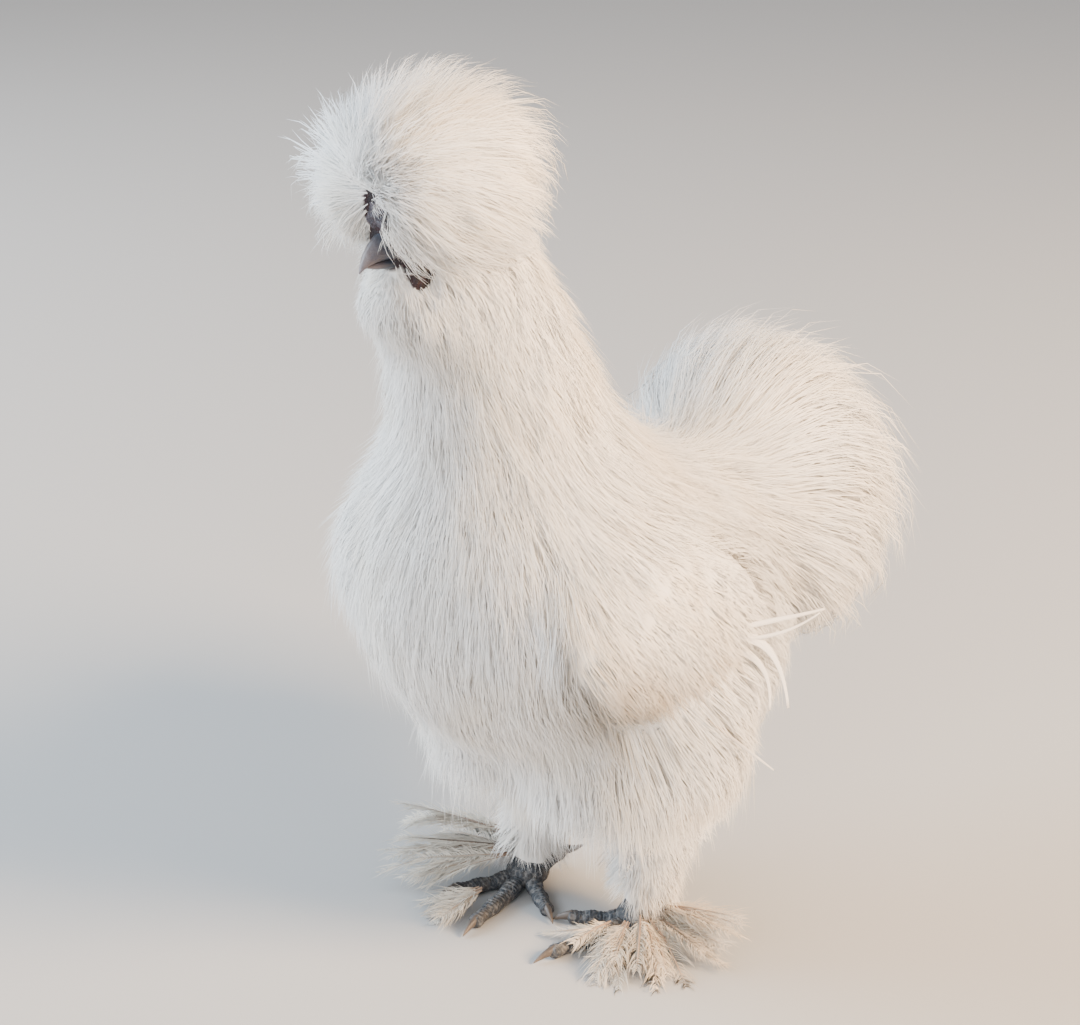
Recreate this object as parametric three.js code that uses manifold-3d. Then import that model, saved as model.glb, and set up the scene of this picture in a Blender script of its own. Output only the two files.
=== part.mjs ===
// A white silkie fowl standing on both feet: a still, life-size model, in millimetres.
// +Z is up, the beak points towards -Y and the bird's left side is at +X. While it is built the floor
// point between the feet is the origin, and at the end the bird moves so that its box is centred there.
// Each mesh is one body part. A feathered part is a smooth core of flesh and down with its long silky
// plumage as flat, tapered locks that are rooted in the core, and no part touches another.
import * as THREE from "three";
import { mergeVertices } from "three/addons/utils/BufferGeometryUtils.js";
import Module from "manifold-3d";

const wasm = await Module();
wasm.setup();

// Driving dimensions
const GAP = 0.4; // air between neighbouring parts
const STANCE = 30.5; // from the middle line to each foot
const FOOT_STAGGER = 3.5; // how far the left foot stands behind the right, halved
const BODY_HEIGHT = 148; // floor to the middle of the body
const HEAD_HEIGHT = 322; // floor to the middle of the skull
const HEAD_FORWARD = 87; // from the feet forward to the middle of the skull
const EYE_RADIUS = 4.3;
const HOCK_HEIGHT = 66;
const TOE_RADIUS = 4.2;

const LEFT = 1;
const RIGHT = -1;
const SIDES = { left: LEFT, right: RIGHT };

const vector = (x, y, z) => new THREE.Vector3(x, y, z);

// Numbers drawn from a seed, so that every build is the same
function seeded(seed) {
  let state = seed;
  return () => {
    state = (state * 1664525 + 1013904223) % 4294967296;
    return state / 4294967296;
  };
}

// Body forms as fields: each function gives a point's distance from the bare body, near enough.

// An ellipsoid tilted about the X axis; a positive tilt lifts its rear end.
function ellipsoid([cx, cy, cz], [rx, ry, rz], tiltDegrees = 0) {
  const tilt = THREE.MathUtils.degToRad(tiltDegrees);
  const cosine = Math.cos(tilt);
  const sine = Math.sin(tilt);
  return (x, y, z) => {
    const across = x - cx;
    const along = cosine * (y - cy) + sine * (z - cz);
    const up = cosine * (z - cz) - sine * (y - cy);
    const share = Math.hypot(across / rx, along / ry, up / rz);
    const slope = Math.hypot(across / rx ** 2, along / ry ** 2, up / rz ** 2);
    return slope < 1e-9 ? -Math.min(rx, ry, rz) : (share * (share - 1)) / slope;
  };
}

// Balls [x, y, z, radius] in a row, joined by cones.
function chain(...balls) {
  return (x, y, z) => {
    let nearest = Infinity;
    for (let i = 1; i < balls.length; i += 1) {
      const [ax, ay, az, ar] = balls[i - 1];
      const [bx, by, bz, br] = balls[i];
      const [dx, dy, dz] = [bx - ax, by - ay, bz - az];
      const dot = (x - ax) * dx + (y - ay) * dy + (z - az) * dz;
      const t = THREE.MathUtils.clamp(dot / (dx * dx + dy * dy + dz * dz), 0, 1);
      const away = Math.hypot(x - ax - t * dx, y - ay - t * dy, z - az - t * dz);
      nearest = Math.min(nearest, away - ar - t * (br - ar));
    }
    return nearest;
  };
}

// Several forms grown together, with fillets about `width` wide where they meet.
function blend(width, ...fields) {
  return (x, y, z) =>
    fields
      .map((field) => field(x, y, z))
      .reduce((a, b) => {
        const near = Math.max(width - Math.abs(a - b), 0) / width;
        return Math.min(a, b) - (near * near * width) / 4;
      });
}

function gradient(field, p) {
  const h = 0.2;
  return new THREE.Vector3(
    field(p.x + h, p.y, p.z) - field(p.x - h, p.y, p.z),
    field(p.x, p.y + h, p.z) - field(p.x, p.y - h, p.z),
    field(p.x, p.y, p.z + h) - field(p.x, p.y, p.z - h),
  ).normalize();
}

// Moves a point along the field's slope until it is `level` away from the bare body.
function settle(field, p, level) {
  const moved = p.clone();
  for (let i = 0; i < 12; i += 1) {
    moved.addScaledVector(gradient(field, moved), level - field(moved.x, moved.y, moved.z));
  }
  return moved;
}

// The first point on a ray that is `level` away from the bare body.
function rayTo(field, level, centre, direction) {
  const at = (t) => field(centre.x + direction.x * t, centre.y + direction.y * t, centre.z + direction.z * t);
  let far = 1;
  while (at(far) < level && far < 400) far += 1;
  let near = far - 1;
  for (let i = 0; i < 16; i += 1) {
    const middle = (near + far) / 2;
    if (at(middle) < level) near = middle;
    else far = middle;
  }
  return centre.clone().addScaledVector(direction, far);
}

// Solids

function solidFrom(geometry) {
  geometry.deleteAttribute("normal");
  geometry.deleteAttribute("uv");
  const merged = mergeVertices(geometry, 1e-4);
  return new wasm.Manifold(
    new wasm.Mesh({
      numProp: 3,
      vertProperties: merged.attributes.position.array,
      triVerts: new Uint32Array(merged.index.array),
    }),
  );
}

// A closed solid from rings of points, which run clockwise as seen from before the first one. A single
// point at either end makes it pointed.
function skinned(rings) {
  const positions = [];
  const indices = [];
  const starts = rings.map((ring) => {
    const start = positions.length / 3;
    ring.forEach((p) => positions.push(p.x, p.y, p.z));
    return start;
  });
  for (let k = 1; k < rings.length; k += 1) {
    const [a, b] = [rings[k - 1], rings[k]];
    const count = Math.max(a.length, b.length);
    for (let j = 0; j < count; j += 1) {
      const next = (j + 1) % count;
      const a0 = starts[k - 1] + (a.length > 1 ? j : 0);
      const a1 = starts[k - 1] + (a.length > 1 ? next : 0);
      const b0 = starts[k] + (b.length > 1 ? j : 0);
      const b1 = starts[k] + (b.length > 1 ? next : 0);
      // The diagonal leaves the ring's even corners, which are its edges, so opposite faces match.
      const halves = j % 2 === 0 ? [[a0, a1, b1], [a0, b1, b0]] : [[a0, a1, b0], [a1, b1, b0]];
      halves
        .filter(([u, v, w]) => u !== v && v !== w && u !== w)
        .forEach((face) => indices.push(...face));
    }
  }
  [[rings[0], starts[0], false], [rings.at(-1), starts.at(-1), true]].forEach(([ring, start, forward]) => {
    for (let j = 1; j + 1 < ring.length; j += 1) {
      indices.push(start, start + (forward ? j : j + 1), start + (forward ? j + 1 : j));
    }
  });
  const geometry = new THREE.BufferGeometry();
  geometry.setAttribute("position", new THREE.Float32BufferAttribute(positions, 3));
  geometry.setIndex(indices);
  return solidFrom(geometry);
}

// A form seen from its own centre: rays meet the field at `level`, in rings about `axis`.
function starSolid({ field, centre, axis, rings, sides }, level) {
  const pole = axis.clone().normalize();
  const across = new THREE.Vector3(1, 0, 0).addScaledVector(pole, -pole.x).normalize();
  const third = new THREE.Vector3().crossVectors(pole, across);
  const layers = [[rayTo(field, level, centre, pole)]];
  for (let i = 1; i < rings; i += 1) {
    const lean = (Math.PI * i) / rings;
    const ring = [];
    for (let j = 0; j < sides; j += 1) {
      const turn = (-2 * Math.PI * j) / sides;
      const ray = pole
        .clone()
        .multiplyScalar(Math.cos(lean))
        .addScaledVector(across, Math.sin(lean) * Math.cos(turn))
        .addScaledVector(third, Math.sin(lean) * Math.sin(turn));
      ring.push(rayTo(field, level, centre, ray));
    }
    layers.push(ring);
  }
  layers.push([rayTo(field, level, centre, pole.clone().negate())]);
  return skinned(layers);
}

// Locks and vanes

// A flat, tapered lock along a path of points {at, out, ahead}: two thin edges and a ridge along the top.
// A vane has a lower ridge too. `grow` makes either that much bigger all round.
const WIDTH_SHARES = [0.75, 1, 0.92, 0.6];
function bladeSolid(path, { width, thick, vane = false }, grow) {
  const rings = path.slice(0, -1).map(({ at, out, ahead }, k) => {
    const half = (width * WIDTH_SHARES[k + WIDTH_SHARES.length + 1 - path.length]) / 2 + grow;
    const across = new THREE.Vector3().crossVectors(ahead, out).normalize();
    const below = vane ? thick + grow : 2 * grow;
    const ring = [
      at.clone().addScaledVector(across, -half),
      at.clone().addScaledVector(out, thick + grow),
      at.clone().addScaledVector(across, half),
    ];
    return below ? [...ring, at.clone().addScaledVector(out, -below)] : ring;
  });
  const { at, ahead } = path.at(-1);
  return skinned([...rings, [at.clone().addScaledVector(ahead, 2 * grow)]]);
}

// The line that a lock follows: from its root under the core it runs `length` along the lie, turned by
// `turn`, and stands out to `tip` above the skin at its end.
function lockPath({ field, cover = field, lie, lock: { steps } }, root, { length, turn, from, tip }) {
  const path = [];
  let at = settle(field, root, from);
  for (let k = 0; k <= steps; k += 1) {
    const out = gradient(cover, at);
    const along = lie(at).applyAxisAngle(out, turn);
    const ahead = along.addScaledVector(out, -along.dot(out)).normalize();
    path.push({ at, out, ahead });
    const height = THREE.MathUtils.lerp(from, tip, Math.sin((Math.PI / 2) * ((k + 1) / steps)));
    at = settle(cover, at.clone().addScaledVector(ahead, length / steps), height);
  }
  return path;
}

// Roots set evenly over a form, in rows round its axis that stagger
function rootsOf({ field, centre, axis, core, rows }, random) {
  const pole = axis.clone().normalize();
  const across = new THREE.Vector3(1, 0, 0).addScaledVector(pole, -pole.x).normalize();
  const third = new THREE.Vector3().crossVectors(pole, across);
  const place = (lean, turn) => {
    const tilt = THREE.MathUtils.degToRad(lean);
    const ray = pole
      .clone()
      .multiplyScalar(Math.cos(tilt))
      .addScaledVector(across, Math.sin(tilt) * Math.sin(turn))
      .addScaledVector(third, -Math.sin(tilt) * Math.cos(turn));
    return rayTo(field, core, centre, ray);
  };
  const sides = [0, Math.PI / 2, Math.PI];
  const leans = [rows.from];
  let walked = 0;
  for (let lean = rows.from + 1; lean <= rows.to; lean += 1) {
    const stepsTaken = sides.map((turn) => place(lean, turn).distanceTo(place(lean - 1, turn)));
    walked += stepsTaken.reduce((sum, length) => sum + length, 0) / sides.length;
    if (walked < rows.apart) continue;
    leans.push(lean);
    walked = 0;
  }
  const roots = [];
  let stagger = 0;
  for (const lean of leans) {
    const ring = Array.from({ length: 73 }, (_, j) => place(lean, (2 * Math.PI * j) / 72));
    const lengths = [0];
    for (let j = 1; j < ring.length; j += 1) lengths.push(lengths[j - 1] + ring[j].distanceTo(ring[j - 1]));
    const count = Math.max(3, Math.round(lengths.at(-1) / rows.spacing));
    for (let i = 0; i < count; i += 1) {
      const wanted = ((i + stagger + 0.3 * (random() - 0.5) + count) % count) * (lengths.at(-1) / count);
      roots.push(ring[lengths.findIndex((length) => length >= wanted)].clone());
    }
    stagger = 0.5 - stagger;
  }
  return roots;
}

// Ways to bend a lock clear of its neighbours, tried in turn: shares of its length and tip, and a turn
const BENDS = [
  { length: 1, turn: 0, tip: 1 },
  { length: 1, turn: 0.2, tip: 1.1 },
  { length: 1, turn: -0.2, tip: 1.1 },
  { length: 0.85, turn: 0.25, tip: 0.85 },
  { length: 0.85, turn: -0.25, tip: 0.85 },
  { length: 0.9, turn: 0, tip: 0.5 },
  { length: 0.75, turn: 0.4, tip: 0.6 },
  { length: 0.75, turn: -0.4, tip: 0.6 },
  { length: 0.8, turn: 0, tip: 0.3 },
  { length: 0.5, turn: 0, tip: 0.25 },
];

const meets = (a, b) => {
  const [p, q] = [a.boundingBox(), b.boundingBox()];
  const apart = [0, 1, 2].some((k) => p.min[k] > q.max[k] || q.min[k] > p.max[k]);
  return !apart && a.intersect(b).volume() > 1e-6;
};

// A path without kinks, along which a blade can't fold into itself
const isSmooth = (path) =>
  path.slice(1).every(({ at, out, ahead }, k) => {
    const last = path[k];
    return (
      ahead.dot(last.ahead) > 0.6 && out.dot(last.out) > 0.5 && at.clone().sub(last.at).dot(last.ahead) > 1.5
    );
  });

// The first of some paths whose blade is clear of the neighbours and the floor and, past its root, of its
// fellows too; its solid, or nothing where none of them is.
function clearBlade(paths, size, core, neighbours, fellows) {
  for (const path of paths.filter(isSmooth)) {
    const grown = bladeSolid(path, size, GAP);
    const free = bladeSolid(path.slice(1), size, GAP);
    const blocked =
      grown.boundingBox().min[2] < 1 ||
      neighbours.some((other) => meets(grown, other)) ||
      fellows.some((other) => meets(free, other));
    if (blocked) continue;
    const solid = bladeSolid(path, size, 0);
    if (solid.intersect(core).volume() > 0.06 * solid.volume()) return [solid];
  }
  return [];
}

// The locks of a form, rooted in its core
function locksOf(form, core, neighbours, vanes, random) {
  const { coat, core: level, lock } = form;
  const locks = [...vanes];
  rootsOf(form, random).forEach((root) => {
    const vary = (share) => 1 + share * (2 * random() - 1);
    const size = { width: lock.width * vary(0.15), thick: lock.thick };
    const [length, turn, tip] = [lock.length * vary(0.15), 0.16 * (random() - 0.5), vary(lock.ruffle)];
    const paths = BENDS.map((bend) =>
      lockPath(form, root, {
        length: length * bend.length,
        turn: turn + bend.turn,
        from: level - lock.sink,
        tip: level + (coat - level) * tip * bend.tip,
      }),
    );
    locks.push(...clearBlade(paths, size, core, neighbours, locks));
  });
  return locks;
}

// A vane's line: it leaves `start` along `ahead` and bends by `droop` towards `fall` at its tip. Its flat
// side faces `facing`.
const VANE_STEPS = 4;
function vanePath({ start, ahead, facing, fall, length, droop }) {
  return Array.from({ length: VANE_STEPS + 1 }, (_, k) => {
    const t = k / VANE_STEPS;
    const at = start.clone().addScaledVector(ahead, length * t).addScaledVector(fall, droop * t * t);
    const tangent = ahead.clone().multiplyScalar(length).addScaledVector(fall, 2 * droop * t).normalize();
    const out = facing.clone().addScaledVector(tangent, -facing.dot(tangent)).normalize();
    return { at, out, ahead: tangent };
  });
}

// The vanes of a list, each swung a little one way or the other where its first place isn't free
function vanesOf(list, core, neighbours) {
  const vanes = [];
  list.forEach(({ width, thick, ...line }) => {
    const paths = [0, 0.12, -0.12, 0.24, -0.24].map((swing) => {
      const ahead = line.ahead.clone().applyAxisAngle(line.facing, swing);
      return vanePath({ ...line, ahead, length: line.length * (1 - Math.abs(swing)) });
    });
    vanes.push(...clearBlade(paths, { width, thick, vane: true }, core, neighbours, vanes));
  });
  return vanes;
}

// The wing's flight feathers: narrow, curved and lying over one another, from the outermost and longest in
const QUILLS = 6;
const QUILL_LENGTH = 58;
const quills = (side) =>
  Array.from({ length: QUILLS }, (_, i) => ({
    start: vector(side * (71.5 - 1.9 * i), 6 - 6 * i, 148 - 3.5 * i),
    ahead: vector(side * 0.06, 0.86, -0.5 - 0.07 * i).normalize(),
    facing: vector(side, 0, 0),
    fall: vector(0, 0.1, -1),
    length: QUILL_LENGTH - 3 * i,
    droop: 12,
    width: 7.5,
    thick: 0.55,
  }));

// The feathers of the foot: a low fan from the outer side of the shank, over the outer toe. It opens from
// FAN_START to FAN_END, in degrees from straight ahead, and is longest halfway.
const FAN = 8;
const FAN_START = -12;
const FAN_END = 128;
const FAN_LENGTH = 46;
const footFeathers = (side) =>
  Array.from({ length: FAN }, (_, i) => {
    const share = i / (FAN - 1);
    const high = i % 2;
    const yaw = THREE.MathUtils.degToRad(THREE.MathUtils.lerp(FAN_START, FAN_END, share)) * side;
    const ahead = vector(Math.sin(yaw), -Math.cos(yaw), 0.1 + 0.14 * high).normalize();
    const hub = vector(side * (STANCE + 3), 4 + side * FOOT_STAGGER, 22 + 3 * high);
    return {
      start: hub.addScaledVector(ahead, 4),
      ahead,
      facing: vector(0, 0, 1),
      fall: vector(0, 0, -1),
      length: FAN_LENGTH + 6 * Math.sin(Math.PI * share),
      droop: 20 + 4 * high,
      width: 12,
      thick: 0.6,
    };
  });

// The largest closed surface of a solid: a sealed hollow is filled and loose scraps are dropped.
function largestBody(solid) {
  return solid.decompose().reduce((best, body) => (body.volume() > best.volume() ? body : best));
}

// Forms of the body. A form's field is its bare skin, its core is the down next to the skin, `core` thick,
// and its locks stand out to `coat` at their tips. The locks' roots lie in rows round `axis`, from one
// lean to another in degrees.

const torsoForm = {
  field: blend(
    18,
    ellipsoid([0, -1, BODY_HEIGHT + 2], [52, 85, 53], -22),
    ellipsoid([0, -43, 187], [46, 40, 45]),
    ellipsoid([0, 40, 110], [36, 34, 30]),
  ),
  centre: vector(0, -8, 154),
  axis: vector(0, -0.45, 1),
  rings: 12,
  sides: 20,
  core: 12,
  coat: 29,
  rows: { from: 30, to: 140, apart: 30, spacing: 34 },
  lock: { length: 60, width: 30, thick: 2.8, sink: 6, steps: 4, ruffle: 0.12 },
  // The breast's plumes hang, those of the flanks slant back and those of the back run to the tail.
  lie: (p) => {
    const back = THREE.MathUtils.smoothstep(p.y, -80, 10) * THREE.MathUtils.smoothstep(p.z, 90, 200);
    return vector(p.x * 0.018 * back, 0.12 + 1.3 * back, -1 + 0.75 * back);
  },
};

const neckForm = {
  field: chain([0, -38, 196, 36], [0, -52, 250, 25], [0, -70, 306, 15]),
  centre: vector(0, -54, 254),
  axis: vector(0, -0.35, 1),
  rings: 10,
  sides: 14,
  core: 9,
  coat: 23,
  rows: { from: 22, to: 122, apart: 19, spacing: 22 },
  lock: { length: 44, width: 20, thick: 2.2, sink: 5, steps: 4, ruffle: 0.12 },
  lie: (p) => vector(p.x * 0.01, 0.22, -1),
};

const headForm = {
  field: ellipsoid([0, -HEAD_FORWARD, HEAD_HEIGHT], [14.5, 21, 16.5], 8),
  centre: vector(0, -HEAD_FORWARD, HEAD_HEIGHT),
  axis: vector(0, -1, 0),
  rings: 8,
  sides: 12,
};

const crestForm = {
  field: ellipsoid([0, -84, HEAD_HEIGHT + 22], [15, 16, 17]),
  centre: vector(0, -84, HEAD_HEIGHT + 22),
  axis: vector(0, -0.1, 1),
  rings: 8,
  sides: 13,
  core: 13,
  coat: 29,
  rows: { from: 16, to: 118, apart: 9, spacing: 15.5 },
  lock: { length: 21, width: 14, thick: 1.9, sink: 5, steps: 3, ruffle: 0.2 },
  // Its plumes part at the crown and fall outwards all round.
  lie: (p) => vector(p.x, p.y + 90, -6),
};

const beardForm = {
  field: blend(
    8,
    ellipsoid([0, -91, 293], [16, 9, 8]),
    ellipsoid([17, -80, 306], [6, 9, 11]),
    ellipsoid([-17, -80, 306], [6, 9, 11]),
    ellipsoid([0, -76, 296], [18, 12, 10]),
  ),
  centre: vector(0, -80, 297),
  axis: vector(0, 0, 1),
  rings: 8,
  sides: 16,
  core: 4,
  coat: 14,
  rows: { from: 44, to: 130, apart: 9, spacing: 15 },
  lock: { length: 23, width: 13, thick: 1.8, sink: 4, steps: 3, ruffle: 0.15 },
  lie: (p) => vector(p.x * 0.03, -0.2, -1),
};

const tailForm = {
  field: ellipsoid([0, 102, 168], [26, 33, 41], 14),
  centre: vector(0, 102, 168),
  axis: vector(0, -0.62, 0.78),
  rings: 10,
  sides: 14,
  core: 12,
  coat: 46,
  rows: { from: 10, to: 140, apart: 19, spacing: 26 },
  lock: { length: 64, width: 23, thick: 2.4, sink: 6, steps: 4, ruffle: 0.12 },
  // The plumes spring from the root of the tail and arch back and down.
  lie: (p) => vector(p.x, p.y - 40, p.z - 228),
};

const wingForm = (side) => ({
  field: ellipsoid([side * 68, -27, 160], [10, 58, 33], -12),
  centre: vector(side * 68, -27, 160),
  axis: vector(side * 0.25, -1, 0.35),
  rings: 9,
  sides: 12,
  core: 0,
  coat: 6,
  rows: { from: 22, to: 122, apart: 20, spacing: 25 },
  lock: { length: 44, width: 23, thick: 2.2, sink: 4, steps: 3, ruffle: 0.1 },
  lie: () => vector(0, 0.85, -0.5),
});

const thighForm = (side) => ({
  field: chain([side * 37, 2, 122, 26], [side * 35, 7, 98, 25], [side * 32, 12, 76, 14]),
  centre: vector(side * 35, 6, 102),
  axis: vector(0, -0.2, 1),
  rings: 8,
  sides: 14,
  core: 10,
  coat: 25,
  rows: { from: 46, to: 140, apart: 23, spacing: 26 },
  lock: { length: 46, width: 24, thick: 2.4, sink: 5, steps: 3, ruffle: 0.12 },
  lie: (p) => vector((p.x - side * 34) * 0.004, 0.2, -1),
});

const shankForm = (side) => ({
  field: chain(
    [side * STANCE, 12 + side * FOOT_STAGGER, HOCK_HEIGHT, 6.5],
    [side * STANCE, 4 + side * FOOT_STAGGER, 27, 5.5],
  ),
  centre: vector(side * STANCE, 8 + side * FOOT_STAGGER, 42),
  axis: vector(0, -0.15, 1),
  rings: 7,
  sides: 10,
  core: 6,
  coat: 14,
  rows: { from: 60, to: 140, apart: 14, spacing: 15 },
  lock: { length: 22, width: 13, thick: 1.8, sink: 4, steps: 3, ruffle: 0.15 },
  lie: (p) => vector((p.x - side * STANCE) * 0.03, 0, -1),
});

// The whole bird's skin, over which the locks of every part lie
const bodyField = blend(
  10,
  torsoForm.field,
  neckForm.field,
  tailForm.field,
  thighForm(LEFT).field,
  thighForm(RIGHT).field,
);
[torsoForm, neckForm, tailForm].forEach((form) => {
  form.cover = bodyField;
});

// Toes leave the foot at these angles from straight ahead, positive towards the bird's left.
const TOES = {
  left: { middle: -12, inner: -54, outer: 28, back: 172, fifth: -128 },
  right: { middle: 14, inner: 62, outer: -27, back: 188, fifth: 128 },
};
const TOE_LENGTH = { middle: 45, inner: 30, outer: 35, back: 17, fifth: 17 };
const TOE_RISE = { middle: 0, inner: 0, outer: 0, back: 3, fifth: 15 };
const SCUTES = { middle: 4, inner: 3, outer: 3, back: 1, fifth: 1 };
const CLAW_LENGTH = { middle: 11, inner: 9, outer: 9, back: 8, fifth: 9 };

// A tapered tube through stations {at, radius}, with `sides` corners and a rounded or pointed end.
// `ridge` raises the upper half of a station.
function tube(stations, sides) {
  const ahead = stations.at(-1).at.clone().sub(stations[0].at).normalize();
  const across = new THREE.Vector3().crossVectors(ahead, vector(0, 0, 1)).normalize();
  const up = new THREE.Vector3().crossVectors(across, ahead);
  return skinned(
    stations.map(({ at, radius, ridge = 0 }) => {
      if (radius === 0) return [at];
      return Array.from({ length: sides }, (_, j) => {
        const turn = (2 * Math.PI * j) / sides;
        const reach = radius + ridge * Math.max(0, Math.sin(turn));
        return at
          .clone()
          .addScaledVector(across, -reach * Math.cos(turn))
          .addScaledVector(up, reach * Math.sin(turn));
      });
    }),
  );
}

const footCentre = (side) => vector(side * STANCE, side * FOOT_STAGGER, 0);

function toeDirection(name, toe) {
  const angle = THREE.MathUtils.degToRad(TOES[name][toe]);
  return vector(Math.sin(angle), -Math.cos(angle), 0);
}

// One toe with its overlapping scutes as low steps along the top
function toeSolid(name, toe, grow) {
  const hub = footCentre(SIDES[name]);
  const direction = toeDirection(name, toe);
  const length = TOE_LENGTH[toe];
  const place = (t) =>
    hub
      .clone()
      .addScaledVector(direction, t * length)
      .setZ(THREE.MathUtils.lerp(6.2, 3.1, Math.min(1, t * 2)) + TOE_RISE[toe] * t);
  const thickness = (t) => THREE.MathUtils.lerp(TOE_RADIUS + 0.6, TOE_RADIUS - 0.8, t) + grow;
  const stations = [{ at: place(0), radius: thickness(0) }];
  for (let i = 0; i < SCUTES[toe]; i += 1) {
    const t = 0.25 + (0.72 * i) / SCUTES[toe];
    stations.push({ at: place(t), radius: thickness(t) });
    stations.push({ at: place(t + 0.02), radius: thickness(t), ridge: 0.5 });
  }
  stations.push({ at: place(0.97), radius: thickness(0.97) });
  stations.push({ at: place(1.03), radius: thickness(1) * 0.75 });
  stations.push({ at: place(1.05 + grow / length), radius: 0 });
  return tube(stations, 6);
}

// A curved claw that starts inside the toe's end and comes down to the floor
function clawSolid(name, toe, grow) {
  const hub = footCentre(SIDES[name]);
  const direction = toeDirection(name, toe);
  const start = TOE_LENGTH[toe] * 0.96 - grow;
  const base = 3.9 + TOE_RISE[toe];
  const drop = toe === "fifth" ? -3 : base - 1;
  const stations = [2.4, 2.1, 1.3, 0].map((radius, i) => {
    const t = i / 3;
    const at = hub.clone().addScaledVector(direction, start + t * (CLAW_LENGTH[toe] + 3 * grow));
    return { at: at.setZ(base - drop * t * t), radius: radius && radius + grow };
  });
  return tube(stations, 6).trimByPlane([0, 0, 1], 0.3);
}

function footSolid(name, grow) {
  const hub = footCentre(SIDES[name]);
  const instep = starSolid(
    {
      field: blend(
        4,
        ellipsoid([hub.x, hub.y, 7.5], [8.5, 9, 8]),
        chain([hub.x, hub.y + 1, 10, 6], [hub.x, hub.y + 3, 24, 5]),
      ),
      centre: vector(hub.x, hub.y, 9),
      axis: vector(0, 0, 1),
      rings: 6,
      sides: 10,
    },
    grow,
  );
  const toes = Object.keys(TOE_LENGTH).map((toe) => toeSolid(name, toe, grow));
  return wasm.Manifold.union([instep, ...toes]);
}

// Head furnishings

const BEAK_BASE = HEAD_FORWARD + 15;
const MOUTH_HEIGHT = HEAD_HEIGHT - 7.5;

function upperBeak(grow) {
  const stations = [
    { forward: 0, height: 3.6, wide: 7.2, tall: 7.6 },
    { forward: 5.5, height: 3.3, wide: 6, tall: 6.4 },
    { forward: 10, height: 2.1, wide: 4.3, tall: 4.9 },
    { forward: 13.4, height: 0.4, wide: 2.6, tall: 3.2 },
    { forward: 15.4, height: -1.8, wide: 1.2, tall: 1.4 },
  ];
  const rings = stations.map(({ forward, height, wide, tall }) =>
    Array.from({ length: 10 }, (_, j) => {
      const turn = (2 * Math.PI * j) / 10;
      const lift = Math.sin(turn) * tall;
      return vector(
        Math.cos(turn) * (wide + grow),
        -(BEAK_BASE + forward),
        MOUTH_HEIGHT + height + (lift < 0 ? lift * 0.45 : lift) + Math.sign(lift) * grow,
      );
    }),
  );
  return skinned([...rings, [vector(0, -(BEAK_BASE + 16.2), MOUTH_HEIGHT - 3.4)]]);
}

function lowerBeak() {
  const stations = [
    { forward: 0, wide: 5.6, tall: 3.2 },
    { forward: 5.5, wide: 4.6, tall: 2.7 },
    { forward: 9.8, wide: 3, tall: 2 },
  ];
  const rings = stations.map(({ forward, wide, tall }) =>
    Array.from({ length: 8 }, (_, j) => {
      const turn = (2 * Math.PI * j) / 8;
      const up = MOUTH_HEIGHT - 1.6 + Math.sin(turn) * tall;
      return vector(Math.cos(turn) * wide, -(BEAK_BASE + forward), up);
    }),
  );
  return skinned([...rings, [vector(0, -(BEAK_BASE + 13.2), MOUTH_HEIGHT - 1.4)]]);
}

function nostril(side) {
  const centre = vector(side * 5.4, -BEAK_BASE - 5.6, MOUTH_HEIGHT + 6.6);
  const field = ellipsoid(centre.toArray(), [1.3, 1.9, 1]);
  return starSolid({ field, centre, axis: vector(0, 0, 1), rings: 4, sides: 6 }, 0);
}

const eyeCentre = (side) => vector(side * 10.4, -HEAD_FORWARD - 6.5, HEAD_HEIGHT + 3);

function ball(centre, radius, rings, sides) {
  const field = ellipsoid(centre.toArray(), [radius, radius, radius]);
  return starSolid({ field, centre, axis: vector(0, 0, 1), rings, sides }, 0);
}

// The lid is a soft rim round the eye.
function lid(side, grow) {
  const centre = eyeCentre(side).add(vector(side * 1.8, 0, 0));
  const ring = new THREE.TorusGeometry(EYE_RADIUS * 0.93, 1.3 + grow, 4, 11);
  ring.rotateY(Math.PI / 2);
  ring.translate(centre.x, centre.y, centre.z);
  return solidFrom(ring);
}

const combForm = {
  field: blend(
    3,
    ellipsoid([0, -HEAD_FORWARD - 17, HEAD_HEIGHT + 9], [6.5, 6, 6.5]),
    ellipsoid([3.4, -HEAD_FORWARD - 20.5, HEAD_HEIGHT + 7], [3, 3, 3.4]),
    ellipsoid([-3.4, -HEAD_FORWARD - 20.5, HEAD_HEIGHT + 7], [3, 3, 3.4]),
    ellipsoid([2.6, -HEAD_FORWARD - 20, HEAD_HEIGHT + 12.5], [3, 3, 3]),
    ellipsoid([-2.6, -HEAD_FORWARD - 20, HEAD_HEIGHT + 12.5], [3, 3, 3]),
  ),
  centre: vector(0, -HEAD_FORWARD - 17, HEAD_HEIGHT + 9),
  axis: vector(0, 0, 1),
  rings: 7,
  sides: 14,
};

const wattleForm = (side) => ({
  field: blend(
    2,
    ellipsoid([side * 10, -HEAD_FORWARD - 11, HEAD_HEIGHT - 11], [3, 4.8, 4.6], -20),
    ellipsoid([side * 10.6, -HEAD_FORWARD - 11.5, HEAD_HEIGHT - 15.5], [3.2, 4.2, 3.6], -20),
  ),
  centre: vector(side * 10, -HEAD_FORWARD - 11, HEAD_HEIGHT - 12.5),
  axis: vector(0, 0, 1),
  rings: 7,
  sides: 10,
});

const earlobeForm = (side) => ({
  field: ellipsoid([side * 14.5, -HEAD_FORWARD + 2, HEAD_HEIGHT - 8], [2.4, 4, 5]),
  centre: vector(side * 14.5, -HEAD_FORWARD + 2, HEAD_HEIGHT - 8),
  axis: vector(0, 0, 1),
  rings: 6,
  sides: 10,
});

// Cores, each cut back by the grown core of what it grows from

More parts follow.
